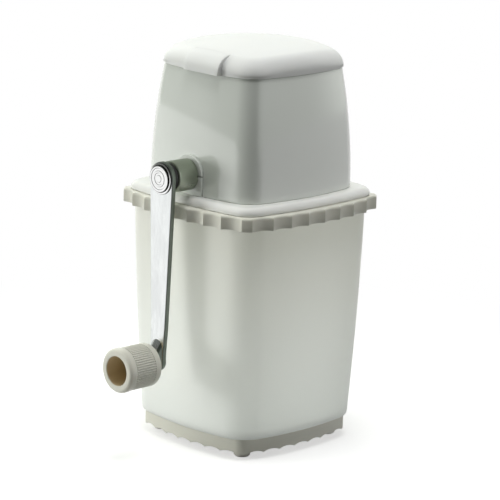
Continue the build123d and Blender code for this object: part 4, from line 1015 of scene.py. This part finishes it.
def make_floor():
    """Round pale floor: plain white far out, and round the object white that takes its shadow.

    Mirrors see it bright, but dark on the camera's side. Bounced light sees a grey floor."""
    mesh = bpy.data.meshes.new("floor")
    work = bmesh.new()
    bmesh.ops.create_circle(work, cap_ends=True, segments=96, radius=3.0)
    work.to_mesh(mesh)
    work.free()
    for v in mesh.vertices:
        v.co.z = -0.0002
    floor = bpy.data.objects.new("floor", mesh)
    bpy.context.scene.collection.objects.link(floor)
    mat = bpy.data.materials.new("pale_floor")
    mat.use_nodes = True
    tree = mat.node_tree
    shader = tree.nodes["Principled BSDF"]
    out = tree.nodes["Material Output"]
    shader.inputs["Base Color"].default_value = (0.75, 0.75, 0.75, 1)
    shader.inputs["Roughness"].default_value = 0.8
    bounce = tree.nodes.new("ShaderNodeBsdfDiffuse")
    reach = tree.nodes.new("ShaderNodeVectorMath")
    reach.operation = "LENGTH"
    tree.links.new(object_points(tree), reach.inputs[0])
    by_reach = spread(tree, reach.outputs["Value"], 0.0, 1.0, 0.15, 0.5)
    tree.links.new(ramp(tree, by_reach, [(0.0, (FLOOR_NEAR,) * 3), (1.0, (FLOOR_FAR,) * 3)]),
                   bounce.inputs["Color"])
    glow = tree.nodes.new("ShaderNodeEmission")
    glow.inputs["Strength"].default_value = 1.0
    half_glow = tree.nodes.new("ShaderNodeEmission")
    half_glow.inputs["Strength"].default_value = FLOOR_GLOW
    added = tree.nodes.new("ShaderNodeAddShader")
    tree.links.new(shader.outputs["BSDF"], added.inputs[0])
    tree.links.new(half_glow.outputs["Emission"], added.inputs[1])
    far = spread(tree, reach.outputs["Value"], 0.0, 1.0, 0.12, 0.4)
    by_place = tree.nodes.new("ShaderNodeMixShader")
    tree.links.new(far, by_place.inputs["Fac"])
    tree.links.new(added.outputs["Shader"], by_place.inputs[1])
    tree.links.new(glow.outputs["Emission"], by_place.inputs[2])
    place_on_floor = tree.nodes.new("ShaderNodeVectorMath")
    place_on_floor.operation = "NORMALIZE"
    tree.links.new(object_points(tree), place_on_floor.inputs[0])
    ahead = tree.nodes.new("ShaderNodeVectorMath")
    ahead.operation = "DOT_PRODUCT"
    tree.links.new(place_on_floor.outputs["Vector"], ahead.inputs[0])
    ahead.inputs[1].default_value = Vector((0.69, -0.72, 0.0))
    mirrored = tree.nodes.new("ShaderNodeEmission")
    tree.links.new(spread(tree, ahead.outputs["Value"], 1.0, 0.18, 0.35, 0.9), mirrored.inputs["Strength"])
    path = tree.nodes.new("ShaderNodeLightPath")
    by_mirror = tree.nodes.new("ShaderNodeMixShader")
    tree.links.new(path.outputs["Is Glossy Ray"], by_mirror.inputs["Fac"])
    tree.links.new(bounce.outputs["BSDF"], by_mirror.inputs[1])
    tree.links.new(mirrored.outputs["Emission"], by_mirror.inputs[2])
    by_ray = tree.nodes.new("ShaderNodeMixShader")
    seen = math_node(tree, "MAXIMUM", path.outputs["Is Camera Ray"], path.outputs["Is Transmission Ray"])
    tree.links.new(seen, by_ray.inputs["Fac"])
    tree.links.new(by_mirror.outputs["Shader"], by_ray.inputs[1])
    tree.links.new(by_place.outputs["Shader"], by_ray.inputs[2])
    tree.links.new(by_ray.outputs["Shader"], out.inputs["Surface"])
    floor.data.materials.append(mat)


def glow_towards(tree, direction, start, end, strength):
    """Soft patch of the surroundings round a direction: strength there, 0 away from it."""
    ray = tree.nodes.new("ShaderNodeTexCoord").outputs["Generated"]
    dot = tree.nodes.new("ShaderNodeVectorMath")
    dot.operation = "DOT_PRODUCT"
    tree.links.new(ray, dot.inputs[0])
    dot.inputs[1].default_value = Vector(direction).normalized()
    node = tree.nodes.new("ShaderNodeMapRange")
    node.interpolation_type = "SMOOTHSTEP"
    node.inputs["From Min"].default_value = start
    node.inputs["From Max"].default_value = end
    node.inputs["To Max"].default_value = strength
    tree.links.new(dot.outputs["Value"], node.inputs["Value"])
    return node.outputs["Result"]


def make_world():
    """White for the camera and for what shows through; a dim fill lights the object.

    Mirrors see neither: they see a dark studio, bright behind the object and on its right."""
    world = bpy.data.worlds.new("studio")
    bpy.context.scene.world = world
    world.use_nodes = True
    tree = world.node_tree
    tree.nodes.clear()
    out = tree.nodes.new("ShaderNodeOutputWorld")
    shades = []
    for colour, strength in (((0.96, 1.0, 0.90), None), ((0.97, 1.0, 0.95), None), ((1, 1, 1), 1.0)):
        shade = tree.nodes.new("ShaderNodeBackground")
        shade.inputs["Color"].default_value = (*colour, 1)
        if strength:
            shade.inputs["Strength"].default_value = strength
        shades.append(shade)
    fill, mirror, white = shades
    total = FILL_LEVEL
    for patch in FILL_PATCHES:
        total = math_node(tree, "ADD", glow_towards(tree, *patch), total)
    tree.links.new(total, fill.inputs["Strength"])
    total = MIRROR_LEVEL
    for patch in MIRROR_PATCHES:
        total = math_node(tree, "ADD", glow_towards(tree, *patch), total)
    tree.links.new(total, mirror.inputs["Strength"])
    path = tree.nodes.new("ShaderNodeLightPath")
    seen = math_node(tree, "MAXIMUM", path.outputs["Is Camera Ray"], path.outputs["Is Transmission Ray"])
    by_mirror = tree.nodes.new("ShaderNodeMixShader")
    tree.links.new(path.outputs["Is Glossy Ray"], by_mirror.inputs["Fac"])
    tree.links.new(fill.outputs["Background"], by_mirror.inputs[1])
    tree.links.new(mirror.outputs["Background"], by_mirror.inputs[2])
    by_camera = tree.nodes.new("ShaderNodeMixShader")
    tree.links.new(seen, by_camera.inputs["Fac"])
    tree.links.new(by_mirror.outputs["Shader"], by_camera.inputs[1])
    tree.links.new(white.outputs["Background"], by_camera.inputs[2])
    tree.links.new(by_camera.outputs["Shader"], out.inputs["Surface"])


def lamp(name, place_at, target, power, size):
    """Rectangular soft lamp that faces a target and is not seen in mirrors."""
    data = bpy.data.lights.new(name, "AREA")
    data.energy = power
    data.shape = "RECTANGLE"
    data.size, data.size_y = size
    light = bpy.data.objects.new(name, data)
    light.location = place_at
    light.rotation_mode = "QUATERNION"
    light.rotation_quaternion = (Vector(target) - Vector(place_at)).to_track_quat("-Z", "Y")
    light.visible_glossy = False
    bpy.context.scene.collection.objects.link(light)


make_floor()
make_world()
lamp("left_low", (-0.70, -0.80, 0.16), (0, 0.02, 0.16), 3.8, (0.3, 0.25))
lamp("right_rear", (1.0, 0.75, 0.35), (0, 0.02, 0.14), 1.2, (0.6, 0.7))
lamp("top", (0.16, -0.03, 1.22), (0, 0.02, 0.2), 7.4, (0.5, 0.5))


def cup_lamp(name, height, power):
    """Small lamp hidden in the cup, which renders far too dark without it."""
    data = bpy.data.lights.new(name, "POINT")
    data.energy = power
    data.shadow_soft_size = 0.025
    light = bpy.data.objects.new(name, data)
    light.location = (0.0, BODY_Y * MM, height)
    light.visible_camera = light.visible_glossy = False
    bpy.context.scene.collection.objects.link(light)


cup_lamp("cup_glow_low", 0.050, 0.034)
cup_lamp("cup_glow_high", 0.105, 0.030)

scene = bpy.context.scene
scene.view_settings.view_transform = "Standard"
